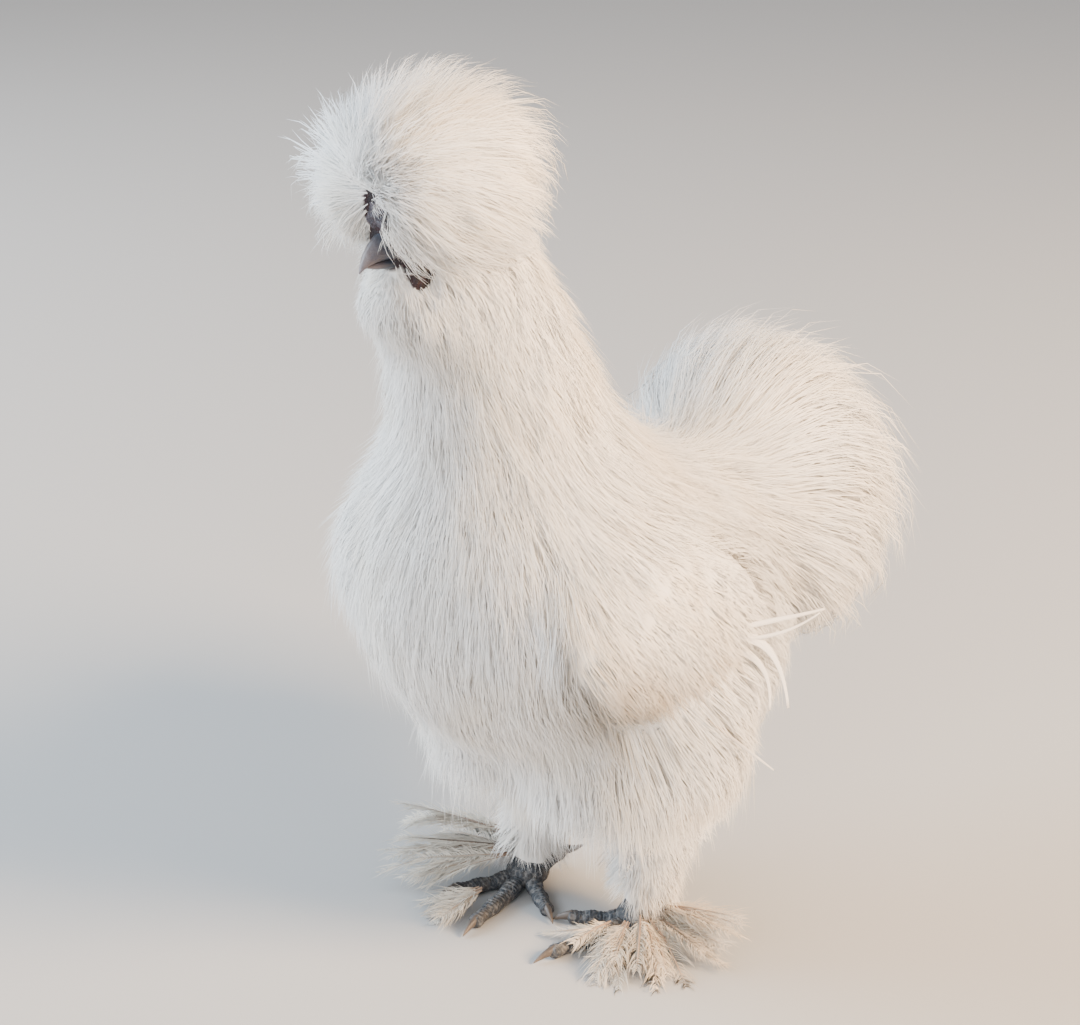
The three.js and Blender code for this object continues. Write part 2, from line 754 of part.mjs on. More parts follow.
const whole = (form) => starSolid(form, form.core);
const grown = (form) => starSolid(form, form.core + GAP);

// The planes in which the crest, head, neck and body meet, and the two sides of such a plane
const seam = (normal, through) => ({ normal: normal.normalize(), offset: normal.dot(through) });
const CROWN = seam(vector(0, 0.34, 0.94), vector(0, -HEAD_FORWARD + 4, HEAD_HEIGHT + 8));
const NAPE = seam(vector(0, 1, -1), vector(0, -HEAD_FORWARD + 4, HEAD_HEIGHT - 5));
const THROAT = seam(vector(0, -0.2, 0.98), vector(0, -45, BODY_HEIGHT + 88));
const before = (solid, { normal, offset }) => solid.trimByPlane(normal.toArray(), offset + GAP / 2);
const behind = (solid, { normal, offset }) =>
  solid.trimByPlane(normal.clone().negate().toArray(), -offset + GAP / 2);

const parts = new Map();
const grownHead = starSolid(headForm, GAP);
const grownComb = starSolid(combForm, GAP);
const skull = wasm.Manifold.union([starSolid(headForm, 0), lid(LEFT, 0), lid(RIGHT, 0)])
  .subtract(ball(eyeCentre(LEFT), EYE_RADIUS + GAP, 6, 10))
  .subtract(ball(eyeCentre(RIGHT), EYE_RADIUS + GAP, 6, 10));
parts.set("head", behind(behind(skull, CROWN), NAPE));
parts.set("comb", behind(starSolid(combForm, 0).subtract(grownHead), CROWN));
parts.set(
  "upper_beak",
  upperBeak(0).subtract(grownHead).subtract(grownComb).subtract(nostril(LEFT)).subtract(nostril(RIGHT)),
);
parts.set("lower_beak", lowerBeak().subtract(grownHead).subtract(upperBeak(GAP)));
for (const [name, side] of Object.entries(SIDES)) {
  parts.set(`${name}_eye`, ball(eyeCentre(side), EYE_RADIUS, 6, 10));
  parts.set(`${name}_wattle`, starSolid(wattleForm(side), 0).subtract(grownHead));
  parts.set(`${name}_earlobe`, behind(starSolid(earlobeForm(side), 0).subtract(grownHead), NAPE));
}

const plumedForms = new Map([
  ["crest", crestForm],
  ["neck", neckForm],
  ["beard", beardForm],
  ["torso", torsoForm],
  ["tail", tailForm],
]);
parts.set("crest", before(whole(crestForm), CROWN));
parts.set("neck", before(before(behind(whole(neckForm), CROWN), NAPE), THROAT));
parts.set("torso", behind(whole(torsoForm), THROAT));
parts.set("tail", whole(tailForm).subtract(grown(torsoForm)));
const throat = wasm.Manifold.union([
  grownHead,
  grown(neckForm),
  ...[LEFT, RIGHT].flatMap((side) => [starSolid(wattleForm(side), GAP), starSolid(earlobeForm(side), GAP)]),
]);
parts.set("beard", whole(beardForm).subtract(throat));
for (const [name, side] of Object.entries(SIDES)) {
  const [wing, thigh, shank] = [wingForm(side), thighForm(side), shankForm(side)];
  const toes = Object.keys(TOE_LENGTH);
  const grownClaws = toes.map((toe) => clawSolid(name, toe, GAP));
  const grownFoot = wasm.Manifold.union([footSolid(name, GAP), ...grownClaws]);
  plumedForms.set(`${name}_wing`, wing).set(`${name}_thigh`, thigh).set(`${name}_shank`, shank);
  parts.set(`${name}_wing`, whole(wing).subtract(grown(torsoForm)));
  parts.set(`${name}_thigh`, whole(thigh).subtract(grown(torsoForm)).subtract(grown(wing)));
  parts.set(`${name}_shank`, whole(shank).subtract(grown(thigh)).subtract(grownFoot));
  parts.set(`${name}_foot`, footSolid(name, 0).trimByPlane([0, 0, 1], 0));
  toes.forEach((toe) => {
    parts.set(`${name}_${toe}_claw`, clawSolid(name, toe, 0).subtract(footSolid(name, GAP)));
  });
}
for (const [name, solid] of parts) parts.set(name, largestBody(solid));

// The plumage, from the outermost part inwards
const OUTER_FIRST = ["crest", "beard", "neck", "wing", "tail", "torso", "thigh", "shank"];
const kindOf = (name) => name.split("_").at(-1);
const turnOf = (name) => OUTER_FIRST.indexOf(kindOf(name));
const order = [...plumedForms.keys()].sort((a, b) => turnOf(a) - turnOf(b));
const extras = new Map();
for (const [name, side] of Object.entries(SIDES)) {
  extras.set(`${name}_wing`, quills(side));
  extras.set(`${name}_shank`, footFeathers(side));
}
order.forEach((name, index) => {
  const core = parts.get(name);
  const neighbours = [...parts].filter(([other]) => other !== name).map(([, solid]) => solid);
  const random = seeded(101 + index);
  const vanes = vanesOf(extras.get(name) ?? [], core, neighbours);
  const locks = locksOf(plumedForms.get(name), core, neighbours, vanes, random);
  parts.set(name, largestBody(wasm.Manifold.union([core, ...locks])));
});

// Colours of the parts, by the last word of a part's name
const PLUMAGE = { color: 0xf3efe7, roughness: 0.95 };
const DARK_SKIN = { color: 0x3d3038, roughness: 0.6 };
const SLATE = { color: 0x59616b, roughness: 0.55 };
const FINISHES = {
  head: { color: 0x4a3a44, roughness: 0.65 },
  comb: DARK_SKIN,
  wattle: { color: 0x4b2634, roughness: 0.55 },
  earlobe: { color: 0x3f7684, roughness: 0.6 },
  beak: { color: 0x6d7379, roughness: 0.45 },
  eye: { color: 0x0b0908, roughness: 0.1 },
  foot: SLATE,
  claw: { color: 0x8c7f73, roughness: 0.5 },
};

const bird = new THREE.Group();
for (const [name, solid] of parts) {
  const mesh = largestBody(solid).getMesh();
  const geometry = new THREE.BufferGeometry();
  geometry.setAttribute("position", new THREE.BufferAttribute(mesh.vertProperties, 3));
  geometry.setIndex(new THREE.BufferAttribute(mesh.triVerts, 1));
  geometry.computeVertexNormals();
  const finish = FINISHES[kindOf(name)] ?? PLUMAGE;
  const object = new THREE.Mesh(geometry, new THREE.MeshStandardMaterial(finish));
  object.name = name;
  bird.add(object);
}

// The box's middle comes to the origin, with the soles on the floor.
const middle = new THREE.Box3().setFromObject(bird).getCenter(vector(0, 0, 0));
bird.position.set(-middle.x, -middle.y, 0);

export default bird;
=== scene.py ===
"""A life-size white silkie fowl in studio light: one skin, its silky plumage, its face and its feet.

Lengths in this script are millimetres in the bird's own frame, whose origin is the floor point between the
feet: the beak points towards -Y, the bird's left side is at +X and +Z is up. PLACE moves a point of it to
where the frame has it, and a piece's mesh is written in metres.
"""
from __future__ import annotations

import logging
import math
from dataclasses import dataclass, field
from enum import Enum
from functools import reduce
from typing import Callable, Iterable

import bpy
import numpy as np
from mathutils import Matrix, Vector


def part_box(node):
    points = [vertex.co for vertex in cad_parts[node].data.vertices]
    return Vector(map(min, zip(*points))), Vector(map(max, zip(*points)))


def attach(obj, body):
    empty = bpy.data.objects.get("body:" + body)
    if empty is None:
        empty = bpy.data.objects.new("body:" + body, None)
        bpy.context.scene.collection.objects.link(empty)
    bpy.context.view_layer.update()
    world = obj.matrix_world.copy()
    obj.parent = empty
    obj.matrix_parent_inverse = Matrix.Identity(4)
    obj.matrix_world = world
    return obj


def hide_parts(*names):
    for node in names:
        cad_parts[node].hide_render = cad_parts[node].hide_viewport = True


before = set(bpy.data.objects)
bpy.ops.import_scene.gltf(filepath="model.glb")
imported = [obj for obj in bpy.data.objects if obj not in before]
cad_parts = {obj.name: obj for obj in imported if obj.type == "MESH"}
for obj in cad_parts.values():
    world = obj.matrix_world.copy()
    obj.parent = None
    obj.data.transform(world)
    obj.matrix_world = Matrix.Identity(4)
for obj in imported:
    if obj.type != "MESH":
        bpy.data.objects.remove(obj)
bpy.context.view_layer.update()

LOG = logging.getLogger("silkie")
Points = np.ndarray
Distance = Callable[[Points], Points]

# Driving dimensions
STANCE = 30.5
FOOT_STAGGER = 3.5
BODY_HEIGHT = 148.0
HEAD_HEIGHT = 322.0
HEAD_FORWARD = 87.0
EYE_RADIUS = 4.3
EYE = np.array([10.4, -HEAD_FORWARD - 6.5, HEAD_HEIGHT + 3.0])
CROWN = np.array([0.0, -84.0, HEAD_HEIGHT + 22.0])
BEAK_BASE = HEAD_FORWARD + 15.0
MOUTH_HEIGHT = HEAD_HEIGHT - 7.5
MM = 0.001
METRE = 1000.0
UP = np.array([0.0, 0.0, 1.0])
SIDEWAYS = np.array([1.0, 0.0, 0.0])
TINY = 1e-9


def frame_offset() -> Points:
    """The bird's own origin in the frame, in millimetres, read from where the left eye is."""
    low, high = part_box("left_eye")
    return METRE * (np.array(low) + np.array(high)) / 2.0 - EYE


PLACE = frame_offset()


class Side(Enum):
    """The bird's two sides, each with the sign of its X."""

    LEFT = 1
    RIGHT = -1

    @property
    def word(self) -> str:
        """The side's name in lower case."""
        return self.name.lower()

    @property
    def mirror(self) -> Points:
        """The signs that carry a point of the left side to this one."""
        return np.array([self.value, 1, 1])


# Points and directions


def unit(v: Points) -> Points:
    """Vectors scaled to length 1."""
    return v / np.maximum(np.linalg.norm(v, axis=-1, keepdims=True), TINY)


def dot(a: Points, b: Points) -> Points:
    """The dot products of two arrays of vectors, kept as a last axis of one."""
    return np.sum(a * b, axis=-1, keepdims=True)


def smoothstep(low: float, high: float, x: Points) -> Points:
    """0 at low and before it, 1 at high and past it, with the cubic 3t^2 - 2t^3 between."""
    t = np.clip((x - low) / (high - low), 0.0, 1.0)
    return t * t * (3.0 - 2.0 * t)


def ripple(p: Points, size: float, phase: float = 0.0) -> Points:
    """A smooth, uneven wave in -1..1 over space: the mean of three skewed sines.

    Args:
        p: Points.
        size: The sines' length, about, in millimetres.
        phase: Where they start.

    Returns:
        The wave at each point.
    """
    q = p * (2.0 * math.pi / size)
    a = np.sin(q[..., 0] * 0.9 + q[..., 1] * 0.7 + phase)
    b = np.sin(q[..., 1] * 1.1 - q[..., 2] * 0.8 + 2.1 * phase)
    c = np.sin(q[..., 2] * 1.3 + q[..., 0] * 0.6 - 1.7 * phase)
    return (a + b + c) / 3.0


def circle(steps: int) -> Points:
    """Angles evenly round a circle."""
    return np.arange(steps) * 2 * math.pi / steps


# Body forms: each distance function gives how far points are from the bare body


def ellipsoid(centre: tuple, radii: tuple, tilt: float = 0.0) -> Distance:
    """The distance to an ellipsoid tilted about the X axis, near enough: share * (share - 1) / slope.

    Args:
        centre: Its middle.
        radii: Its three radii.
        tilt: In degrees. A positive tilt lifts its rear end.

    Returns:
        The distance function.
    """
    middle, sizes = np.array(centre), np.array(radii)
    cosine, sine = math.cos(math.radians(tilt)), math.sin(math.radians(tilt))
    turn = np.array([[1, 0, 0], [0, cosine, sine], [0, -sine, cosine]])

    def distance(p: Points) -> Points:
        """share is 1 on the surface, and slope is how fast it grows per millimetre.

        Args:
            p: Points.

        Returns:
            Their distances.
        """
        local = (p - middle) @ turn.T
        share = np.linalg.norm(local / sizes, axis=-1)
        slope = np.linalg.norm(local / sizes**2, axis=-1)
        return share * (share - 1.0) / np.maximum(slope, TINY)

    return distance


def chain(*balls: tuple) -> Distance:
    """The distance to balls in a row, joined by cones: the least one over the links.

    Args:
        balls: Each ball's x, y, z and radius.

    Returns:
        The distance function.
    """

    def distance(p: Points) -> Points:
        """A link's distance is that to its axis less the radius there.

        Args:
            p: Points.

        Returns:
            Their distances.
        """
        nearest = np.full(p.shape[:-1], np.inf)
        for start, end in zip(balls, balls[1:]):
            a, b = np.array(start[:3]), np.array(end[:3])
            along = b - a
            t = np.clip((p - a) @ along / (along @ along), 0.0, 1.0)
            away = np.linalg.norm(p - a - t[..., None] * along, axis=-1)
            nearest = np.minimum(nearest, away - start[3] - t * (end[3] - start[3]))
        return nearest

    return distance


def grown(form: Distance, by: float) -> Distance:
    """A form whose surface lies `by` further out."""
    return lambda p: form(p) - by


def blend(width: float, *parts: Distance) -> Distance:
    """Several forms grown together with fillets: min(a, b) - near^2 * width / 4.

    Args:
        width: The fillets' width, about.
        parts: The forms.

    Returns:
        The distance function.
    """

    def distance(p: Points) -> Points:
        """near runs from 1, where two forms are equally far, to 0.

        Args:
            p: Points.

        Returns:
            Their distances.
        """
        least = parts[0](p)
        for part in parts[1:]:
            other = part(p)
            near = np.maximum(width - np.abs(least - other), 0.0) / width
            least = np.minimum(least, other) - near * near * width / 4.0
        return least

    return distance


def carved(width: float, form: Distance, cut: Distance) -> Distance:
    """A form from which another is cut, with rounded rims: -blend(-form, cut)."""
    kept = blend(width, lambda p: -form(p), cut)
    return lambda p: -kept(p)


def uneven(
    form: Distance, depth: float, size: float, phase: float, stretch: tuple = (1, 1, 1),
) -> Distance:
    """A form with a ripple on its surface, whose axes may be stretched."""
    return lambda p: form(p) + depth * ripple(p * stretch, size, phase)


HALF_STEP = 0.2


def gradient(distance: Distance, p: Points) -> Points:
    """The direction in which a distance grows, from its differences over a small step to either side."""
    steps = np.eye(3) * HALF_STEP
    return unit(np.stack([distance(p + step) - distance(p - step) for step in steps], axis=-1))


def settle(distance: Distance, p: Points, level: Points | float, rounds: int = 4) -> Points:
    """Points moved along the gradient, each time by what they lack, until they lie at a level of a form.

    Args:
        distance: The form.
        p: Points.
        level: The distance at which they come to lie.
        rounds: How often they are moved.

    Returns:
        The moved points.
    """
    for _ in range(rounds):
        p = p + gradient(distance, p) * (level - distance(p))[..., None]
    return p


# Meshes


def make_piece(
    name: str,
    points: Points,
    faces: Points,
    nodes: tuple[str, ...],
    material: bpy.types.Material,
    uv: Points | None = None,
    values: dict[str, Points] | None = None,
    normals: Points | None = None,
) -> bpy.types.Object:
    """A mesh piece of the bird, in metres and in the frame, that rides with it.

    Args:
        name: The piece's name.
        points: Its vertices in millimetres, in the bird's own frame.
        faces: Rows of three or four vertex numbers.
        nodes: The CAD nodes that it stands for.
        material: Its finish.
        uv: The place of each face corner on the OFBake map, if it has one.
        values: Numbers for each vertex, by attribute name.
        normals: The direction in which each vertex is shaded, if not that of its faces.

    Returns:
        The object.
    """
    mesh = bpy.data.meshes.new(name)
    sides = faces.shape[1]
    mesh.vertices.add(len(points))
    mesh.vertices.foreach_set("co", ((points + PLACE) * MM).astype(np.float32).ravel())
    mesh.loops.add(faces.size)
    mesh.loops.foreach_set("vertex_index", faces.astype(np.int32).ravel())
    mesh.polygons.add(len(faces))
    mesh.polygons.foreach_set("loop_start", np.arange(0, faces.size, sides, dtype=np.int32))
    mesh.polygons.foreach_set("use_smooth", np.ones(len(faces), bool))
    mesh.update(calc_edges=True)
    if uv is not None:
        layer = mesh.uv_layers.new(name="OFBake")
        layer.data.foreach_set("uv", uv.astype(np.float32).ravel())
    for key, numbers in (values or {}).items():
        mesh.attributes.new(key, "FLOAT", "POINT").data.foreach_set("value", numbers.astype(np.float32))
    mesh.materials.append(material)
    mesh.validate()
    if normals is not None:
        mesh.normals_split_custom_set_from_vertices(normals.astype(np.float32))
    piece = bpy.data.objects.new(name, mesh)
    bpy.context.scene.collection.objects.link(piece)
    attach(piece, "root")
    if nodes:
        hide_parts(*nodes)
    low, high = points.min(0), points.max(0)
    LOG.info("%s: %d faces, %s to %s mm", name, len(faces), low.round(), high.round())
    return piece


def grid_faces(rows: int, columns: int, ring: bool = False) -> Points:
    """Triangles of a grid whose last column meets its first, and which faces outwards where the columns
    run anticlockwise as seen from before the first row.

    Args:
        rows: Its rows of vertices.
        columns: The vertices in a row.
        ring: Whether its last row meets its first one too.

    Returns:
        Rows of three vertex numbers.
    """
    row, column = np.meshgrid(np.arange(rows if ring else rows - 1), np.arange(columns), indexing="ij")
    after, below = (column + 1) % columns, (row + 1) % rows
    a, b = row * columns + column, row * columns + after
    c, d = below * columns + column, below * columns + after
    return np.concatenate([np.stack([a, c, b], -1).reshape(-1, 3), np.stack([b, c, d], -1).reshape(-1, 3)])


def closed_tube(rings: Points) -> tuple[Points, Points]:
    """A closed surface from rings of points, with a middle point that closes either end.

    Args:
        rings: An array of rings by columns by 3.

    Returns:
        Its points and its triangles.
    """
    rows, columns, _ = rings.shape
    points = np.concatenate([rings.reshape(-1, 3), rings[0].mean(0)[None], rings[-1].mean(0)[None]])
    column = np.arange(columns)
    after = (column + 1) % columns
    start, end = np.full(columns, rows * columns), np.full(columns, rows * columns + 1)
    last = (rows - 1) * columns
    first_cap = np.stack([start, column, after], -1)
    last_cap = np.stack([end, last + after, last + column], -1)
    return points, np.concatenate([grid_faces(rows, columns), first_cap, last_cap])


def facing_out(points: Points, faces: Points) -> Points:
    """The triangles of a closed surface turned so that the volume they enclose is positive.

    Args:
        points: Its points.
        faces: Its triangles.

    Returns:
        The triangles, as they were or all turned.
    """
    a, b, c = (points[faces[:, k]] for k in range(3))
    volume = np.einsum("ij,ij->i", a, np.cross(b, c)).sum()
    return faces if volume > 0 else faces[:, ::-1]


def joined(parts: list[tuple[Points, Points]]) -> tuple[Points, Points]:
    """Several closed surfaces as one mesh.

    Args:
        parts: The points and triangles of each.

    Returns:
        All their points and their triangles.
    """
    points, faces, count = [], [], 0
    for p, f in parts:
        points.append(p)
        faces.append(facing_out(p, f) + count)
        count += len(p)
    return np.concatenate(points), np.concatenate(faces)


HALVINGS = 22


def star_surface(distance: Distance, centre: Points, rows: int, columns: int,
                 reach: float = 160.0) -> tuple[Points, Points]:
    """A form seen from its own centre: the ray at lean a and turn b runs along (sin a cos b, sin a sin b,
    cos a) to where the distance is 0, found by halving.

    Args:
        distance: The form.
        centre: A point inside it.
        rows: Rings from pole to pole.
        columns: Points in a ring.
        reach: The longest ray.

    Returns:
        Its points and its triangles.
    """
    lean, turn = np.meshgrid((np.arange(rows) + 0.5) * math.pi / rows, circle(columns), indexing="ij")
    rays = np.stack([np.sin(lean) * np.cos(turn), np.sin(lean) * np.sin(turn), np.cos(lean)], -1)
    near, far = np.zeros(lean.shape), np.full(lean.shape, reach)
    for _ in range(HALVINGS):
        middle = (near + far) / 2
        inside = distance(centre + rays * middle[..., None]) < 0.0
        near, far = np.where(inside, middle, near), np.where(inside, far, middle)
    return closed_tube(centre + rays * far[..., None])


def swept(path: Points, across: Points, up: Points, x: Points, y: Points) -> Points:
    """Rings of a profile carried along a path: path + across * x + up * y.

    Args:
        path: Stations by 3.
        across: The profile's X axis at each station, or one for all.
        up: Its Y axis, likewise.
        x: The profile's X, as stations by columns.
        y: Its Y, likewise.

    Returns:
        Stations by columns by 3.
    """
    across, up = np.broadcast_to(across, path.shape), np.broadcast_to(up, path.shape)
    return path[:, None] + across[:, None] * x[..., None] + up[:, None] * y[..., None]


# Materials


class Wire:
    """A shader value on which arithmetic adds Math nodes."""

    def __init__(self, shader: "Shader", socket: bpy.types.NodeSocket) -> None:
        """Wraps an output socket of a shader's tree."""
        self.shader = shader
        self.socket = socket

    def _math(self, operation: str, *values: "Wire | float") -> "Wire":
        """A Math node of one operation on some values."""
        return self.shader.node("ShaderNodeMath", {"operation": operation}, dict(enumerate(values)))

    def __add__(self, other: "Wire | float") -> "Wire":
        """Sum."""
        return self._math("ADD", self, other)

    def __radd__(self, other: float) -> "Wire":
        """Sum with a number on the left."""
        return self._math("ADD", other, self)

    def __sub__(self, other: "Wire | float") -> "Wire":
        """Difference."""
        return self._math("SUBTRACT", self, other)

    def __rsub__(self, other: float) -> "Wire":
        """Difference from a number."""
        return self._math("SUBTRACT", other, self)

    def __mul__(self, other: "Wire | float") -> "Wire":
        """Product."""
        return self._math("MULTIPLY", self, other)

    def __rmul__(self, other: float) -> "Wire":
        """Product with a number on the left."""
        return self._math("MULTIPLY", other, self)

    def least(self, other: "Wire | float") -> "Wire":
        """The smaller of two values."""
        return self._math("MINIMUM", self, other)

    def ramp(self, low: float, high: float) -> "Wire":
        """0 at low, 1 at high and a smooth step between."""
        return self.shader.node(
            "ShaderNodeMapRange", {"interpolation_type": "SMOOTHSTEP"},
            {"Value": self, "From Min": low, "From Max": high})


# The numbers of a colour Mix node's sockets, whose names its other kinds share
MIX_FACTOR, MIX_FIRST, MIX_SECOND, MIX_COLOUR = 0, 6, 7, 2


class Shader:
    """A material in the making, with one Principled shader."""

    def __init__(self, name: str, constants: dict[str, object]) -> None:
        """Starts a material.

        Args:
            name: The material's name.
            constants: Values set on the shader's own sockets.
        """
        self.material = bpy.data.materials.new(name)
        self.material.use_nodes = True
        self.tree = self.material.node_tree
        self.surface = self.tree.nodes["Principled BSDF"]
        for key, value in constants.items():
            self.surface.inputs[key].default_value = value

    def node(self, kind: str, settings: dict[str, object], inputs: dict, output: int | str = 0) -> Wire:
        """A node of any type.

        Args:
            kind: Its type.
            settings: Attributes of the node, set first.
            inputs: Values or wires of its sockets, by name or number.
            output: The output that is wanted.

        Returns:
            That output.
        """
        made = self.tree.nodes.new(kind)
        for key, value in settings.items():
            setattr(made, key, value)
        for key, value in inputs.items():
            if isinstance(value, Wire):
                self.tree.links.new(value.socket, made.inputs[key])
            else:
                made.inputs[key].default_value = value
        return Wire(self, made.outputs[output])

    def place(self) -> Wire:
        """The point in Object coordinates, in metres."""
        return self.node("ShaderNodeTexCoord", {}, {}, "Object")

    def value(self, name: str) -> Wire:
        """A number that the mesh carries."""
        return self.node("ShaderNodeAttribute", {"attribute_name": name}, {}, "Fac")

    def noise(self, scale: float, detail: float = 3.0, stretch: tuple | None = None) -> Wire:
        """A noise pattern.

        Args:
            scale: Its features per metre.
            detail: How many finer octaves it has.
            stretch: Factors on the axes' coordinates, if wanted.

        Returns:
            Its value from 0 to 1.
        """
        place = self.place()
        if stretch:
            place = self.node("ShaderNodeVectorMath", {"operation": "MULTIPLY"}, {0: place, 1: stretch})
        return self.node("ShaderNodeTexNoise", {}, {"Vector": place, "Scale": scale, "Detail": detail}, "Fac")

    def cells(self, scale: float) -> Wire:
        """The distance to the nearest cell centre of a Voronoi pattern."""
        return self.node(
            "ShaderNodeTexVoronoi", {"feature": "F1"}, {"Vector": self.place(), "Scale": scale}, "Distance")

    def away(self, point: Points) -> Wire:
        """The distance from a point of the bird, in millimetres."""
        middle = tuple((point + PLACE) * MM)
        return METRE * self.node(
            "ShaderNodeVectorMath", {"operation": "DISTANCE"}, {0: self.place(), 1: middle}, "Value")

    def nearest(self, spots: Iterable[tuple[Points, float]]) -> Wire:
        """The distance to the nearest of several balls.

        Args:
            spots: Each ball's middle and radius in millimetres.

        Returns:
            The distance in millimetres.
        """
        distances = [self.away(middle) - radius if radius else self.away(middle) for middle, radius in spots]
        return reduce(Wire.least, distances)

    def height(self) -> Wire:
        """The height above the floor, in millimetres."""
        return METRE * self.node("ShaderNodeSeparateXYZ", {}, {"Vector": self.place()}, "Z")

    def mix(self, first: object, second: object, factor: Wire | float) -> Wire:
        """A colour between two others."""
        sockets = {MIX_FACTOR: factor, MIX_FIRST: first, MIX_SECOND: second}
        return self.node("ShaderNodeMix", {"data_type": "RGBA"}, sockets, MIX_COLOUR)

    def feed(self, key: str, wire: Wire) -> None:
        """Links a varying value to one of the shader's sockets."""
        self.tree.links.new(wire.socket, self.surface.inputs[key])

    def bump(self, height: Wire, depth: float) -> None:
        """Raises the surface by a height pattern, `depth` metres deep."""
        self.feed("Normal", self.node(
            "ShaderNodeBump", {}, {"Strength": 1.0, "Distance": depth, "Height": height}, "Normal"))


def colour(red: float, green: float, blue: float) -> tuple:
    """A colour with full opacity."""
    return (red, green, blue, 1.0)


# Middles and radii of the face's bare skin: beak, comb, and on either side the eye, the mouth's corner
# and the wattle
BARE_SPOTS: tuple[tuple[Points, float], ...] = (
    (np.array([0.0, -BEAK_BASE - 1, MOUTH_HEIGHT + 5]), 8.6),
    (np.array([0.0, -HEAD_FORWARD - 19, HEAD_HEIGHT + 9]), 7.0),
    (np.array([0.0, -HEAD_FORWARD - 21, HEAD_HEIGHT + 14]), 5.2),
    *((point * side.mirror, radius) for side in Side for point, radius in (
        (EYE, 6.0),
        (np.array([8.0, -HEAD_FORWARD - 11.5, HEAD_HEIGHT - 7]), 5.0),
        (np.array([10.0, -HEAD_FORWARD - 11, HEAD_HEIGHT - 11]), 4.6),
    )),
)


# Where the folded wings end, on the left side; round them the plumage is painted darker, partly as painted
# shade and partly as greyish soiling
WING_ENDS = ((77.0, -50.0, 130.0), (77.0, -28.0, 120.0), (77.0, -4.0, 120.0))


@dataclass(frozen=True)
class PlumageFinish:
    """White silk: warm at the roots, cream in patches, a darker greyish cream where the folded wings end,
    which is partly painted shade and partly soiling, and soiled near the floor.

    Fields:
        name: The material's name.
        white, cream, root, wing_end_shade_and_soil, soil: Its colours, in the order above; that of the wings'
        ends is partly painted shade and partly soiling.
        soiled, creamy: The shares of soil and of cream.
        worn: Whether the wings' ends are darkened with painted shade and greyish soiling.
        worn_from, worn_to: How far from a wing's end that darkening begins to fade, and is gone.
        soil_from, soil_to: The heights at which the soil begins to fade, and is gone.
        rooted: The share of a strand over which the root's colour fades.
    """

    name: str = "plumage"
    white: tuple = colour(0.96, 0.955, 0.94)
    cream: tuple = colour(0.94, 0.885, 0.79)
    root: tuple = colour(0.955, 0.94, 0.91)
    wing_end_shade_and_soil: tuple = colour(0.46, 0.37, 0.26)
    soil: tuple = colour(0.47, 0.38, 0.28)
    soiled: float = 0.0
    creamy: float = 0.5
    worn: bool = True
    worn_from: float = 5.0
    worn_to: float = 40.0
    soil_from: float = 4.0
    soil_to: float = 52.0
    rooted: float = 0.45

    def material(self) -> bpy.types.Material:
        """Builds the material.

        Returns:
            The material.
        """
        shader = Shader(self.name, {
            "Roughness": 0.62, "Sheen Weight": 0.25, "Sheen Roughness": 0.4, "Specular IOR Level": 0.25})
        patches = shader.noise(26.0).ramp(0.42, 0.72)
        body = shader.mix(self.white, self.cream, patches * 0.7 + self.creamy * 0.3)
        # Painted shade where the folded wings end, with some greyish soiling: the plumage darkens near the
        # wings' ends, in noisy patches
        if self.worn:
            nearest = shader.nearest(
                [(np.array(end) * side.mirror, 0.0) for side in Side for end in WING_ENDS])
            patchy = shader.noise(75.0, 4.0, (1.0, 1.0, 0.6)).ramp(0.25, 0.7) * 0.5 + 0.5
            body = shader.mix(body, self.wing_end_shade_and_soil, (1.0 - nearest.ramp(self.worn_from, self.worn_to)) * patchy)
        body = shader.mix(self.root, body, shader.value("tip").ramp(0.0, self.rooted))
        if self.soiled:
            dirt = shader.noise(70.0).ramp(0.3, 0.7) * 0.6 + 0.4
            low = 1.0 - shader.height().ramp(self.soil_from, self.soil_to)
            body = shader.mix(body, self.soil, dirt * low * self.soiled)
        shader.feed("Base Color", body)
        return shader.material


@dataclass(frozen=True)
class SkinFinish:
    """Skin: dark mulberry on the bare spots, white where the plumage covers it. Its dark fades from `inner`
    to `outer` millimetres outside them."""

    face: tuple = colour(0.012, 0.008, 0.012)
    flush: tuple = colour(0.03, 0.009, 0.013)
    covered: tuple = colour(0.92, 0.9, 0.86)
    inner: float = 0.5
    outer: float = 2.5

    def material(self) -> bpy.types.Material:
        """Builds the material.

        Returns:
            The material.
        """
        shader = Shader("skin", {"Roughness": 0.6, "Specular IOR Level": 0.35})
        bare = 1.0 - shader.nearest(BARE_SPOTS).ramp(self.inner, self.outer)
        face = shader.mix(self.face, self.flush, shader.noise(260.0).ramp(0.35, 0.7))
        shader.feed("Base Color", shader.mix(self.covered, face, bare))
        wrinkles = shader.noise(900.0, 4.0, (1.0, 1.0, 1.8)) + shader.cells(1100.0) * 0.6
        shader.bump(wrinkles * bare, 0.0006)
        return shader.material


@dataclass(frozen=True)
class BareFinish:
    """Bare soft skin with warts and creases, as on comb, wattles, lids and earlobes."""

    name: str
    base: tuple
    accent: tuple
    grain: float = 1400.0
    depth: float = 0.0005
    roughness: float = 0.5

    def material(self) -> bpy.types.Material:
        """Builds the material.

        Returns:
            The material.
        """
        shader = Shader(self.name, {"Roughness": self.roughness, "Specular IOR Level": 0.45})
        blotches = shader.noise(330.0).ramp(0.35, 0.7)
        shader.feed("Base Color", shader.mix(self.base, self.accent, blotches))
        shader.bump(shader.cells(self.grain) + shader.noise(self.grain * 0.6), self.depth)
        return shader.material


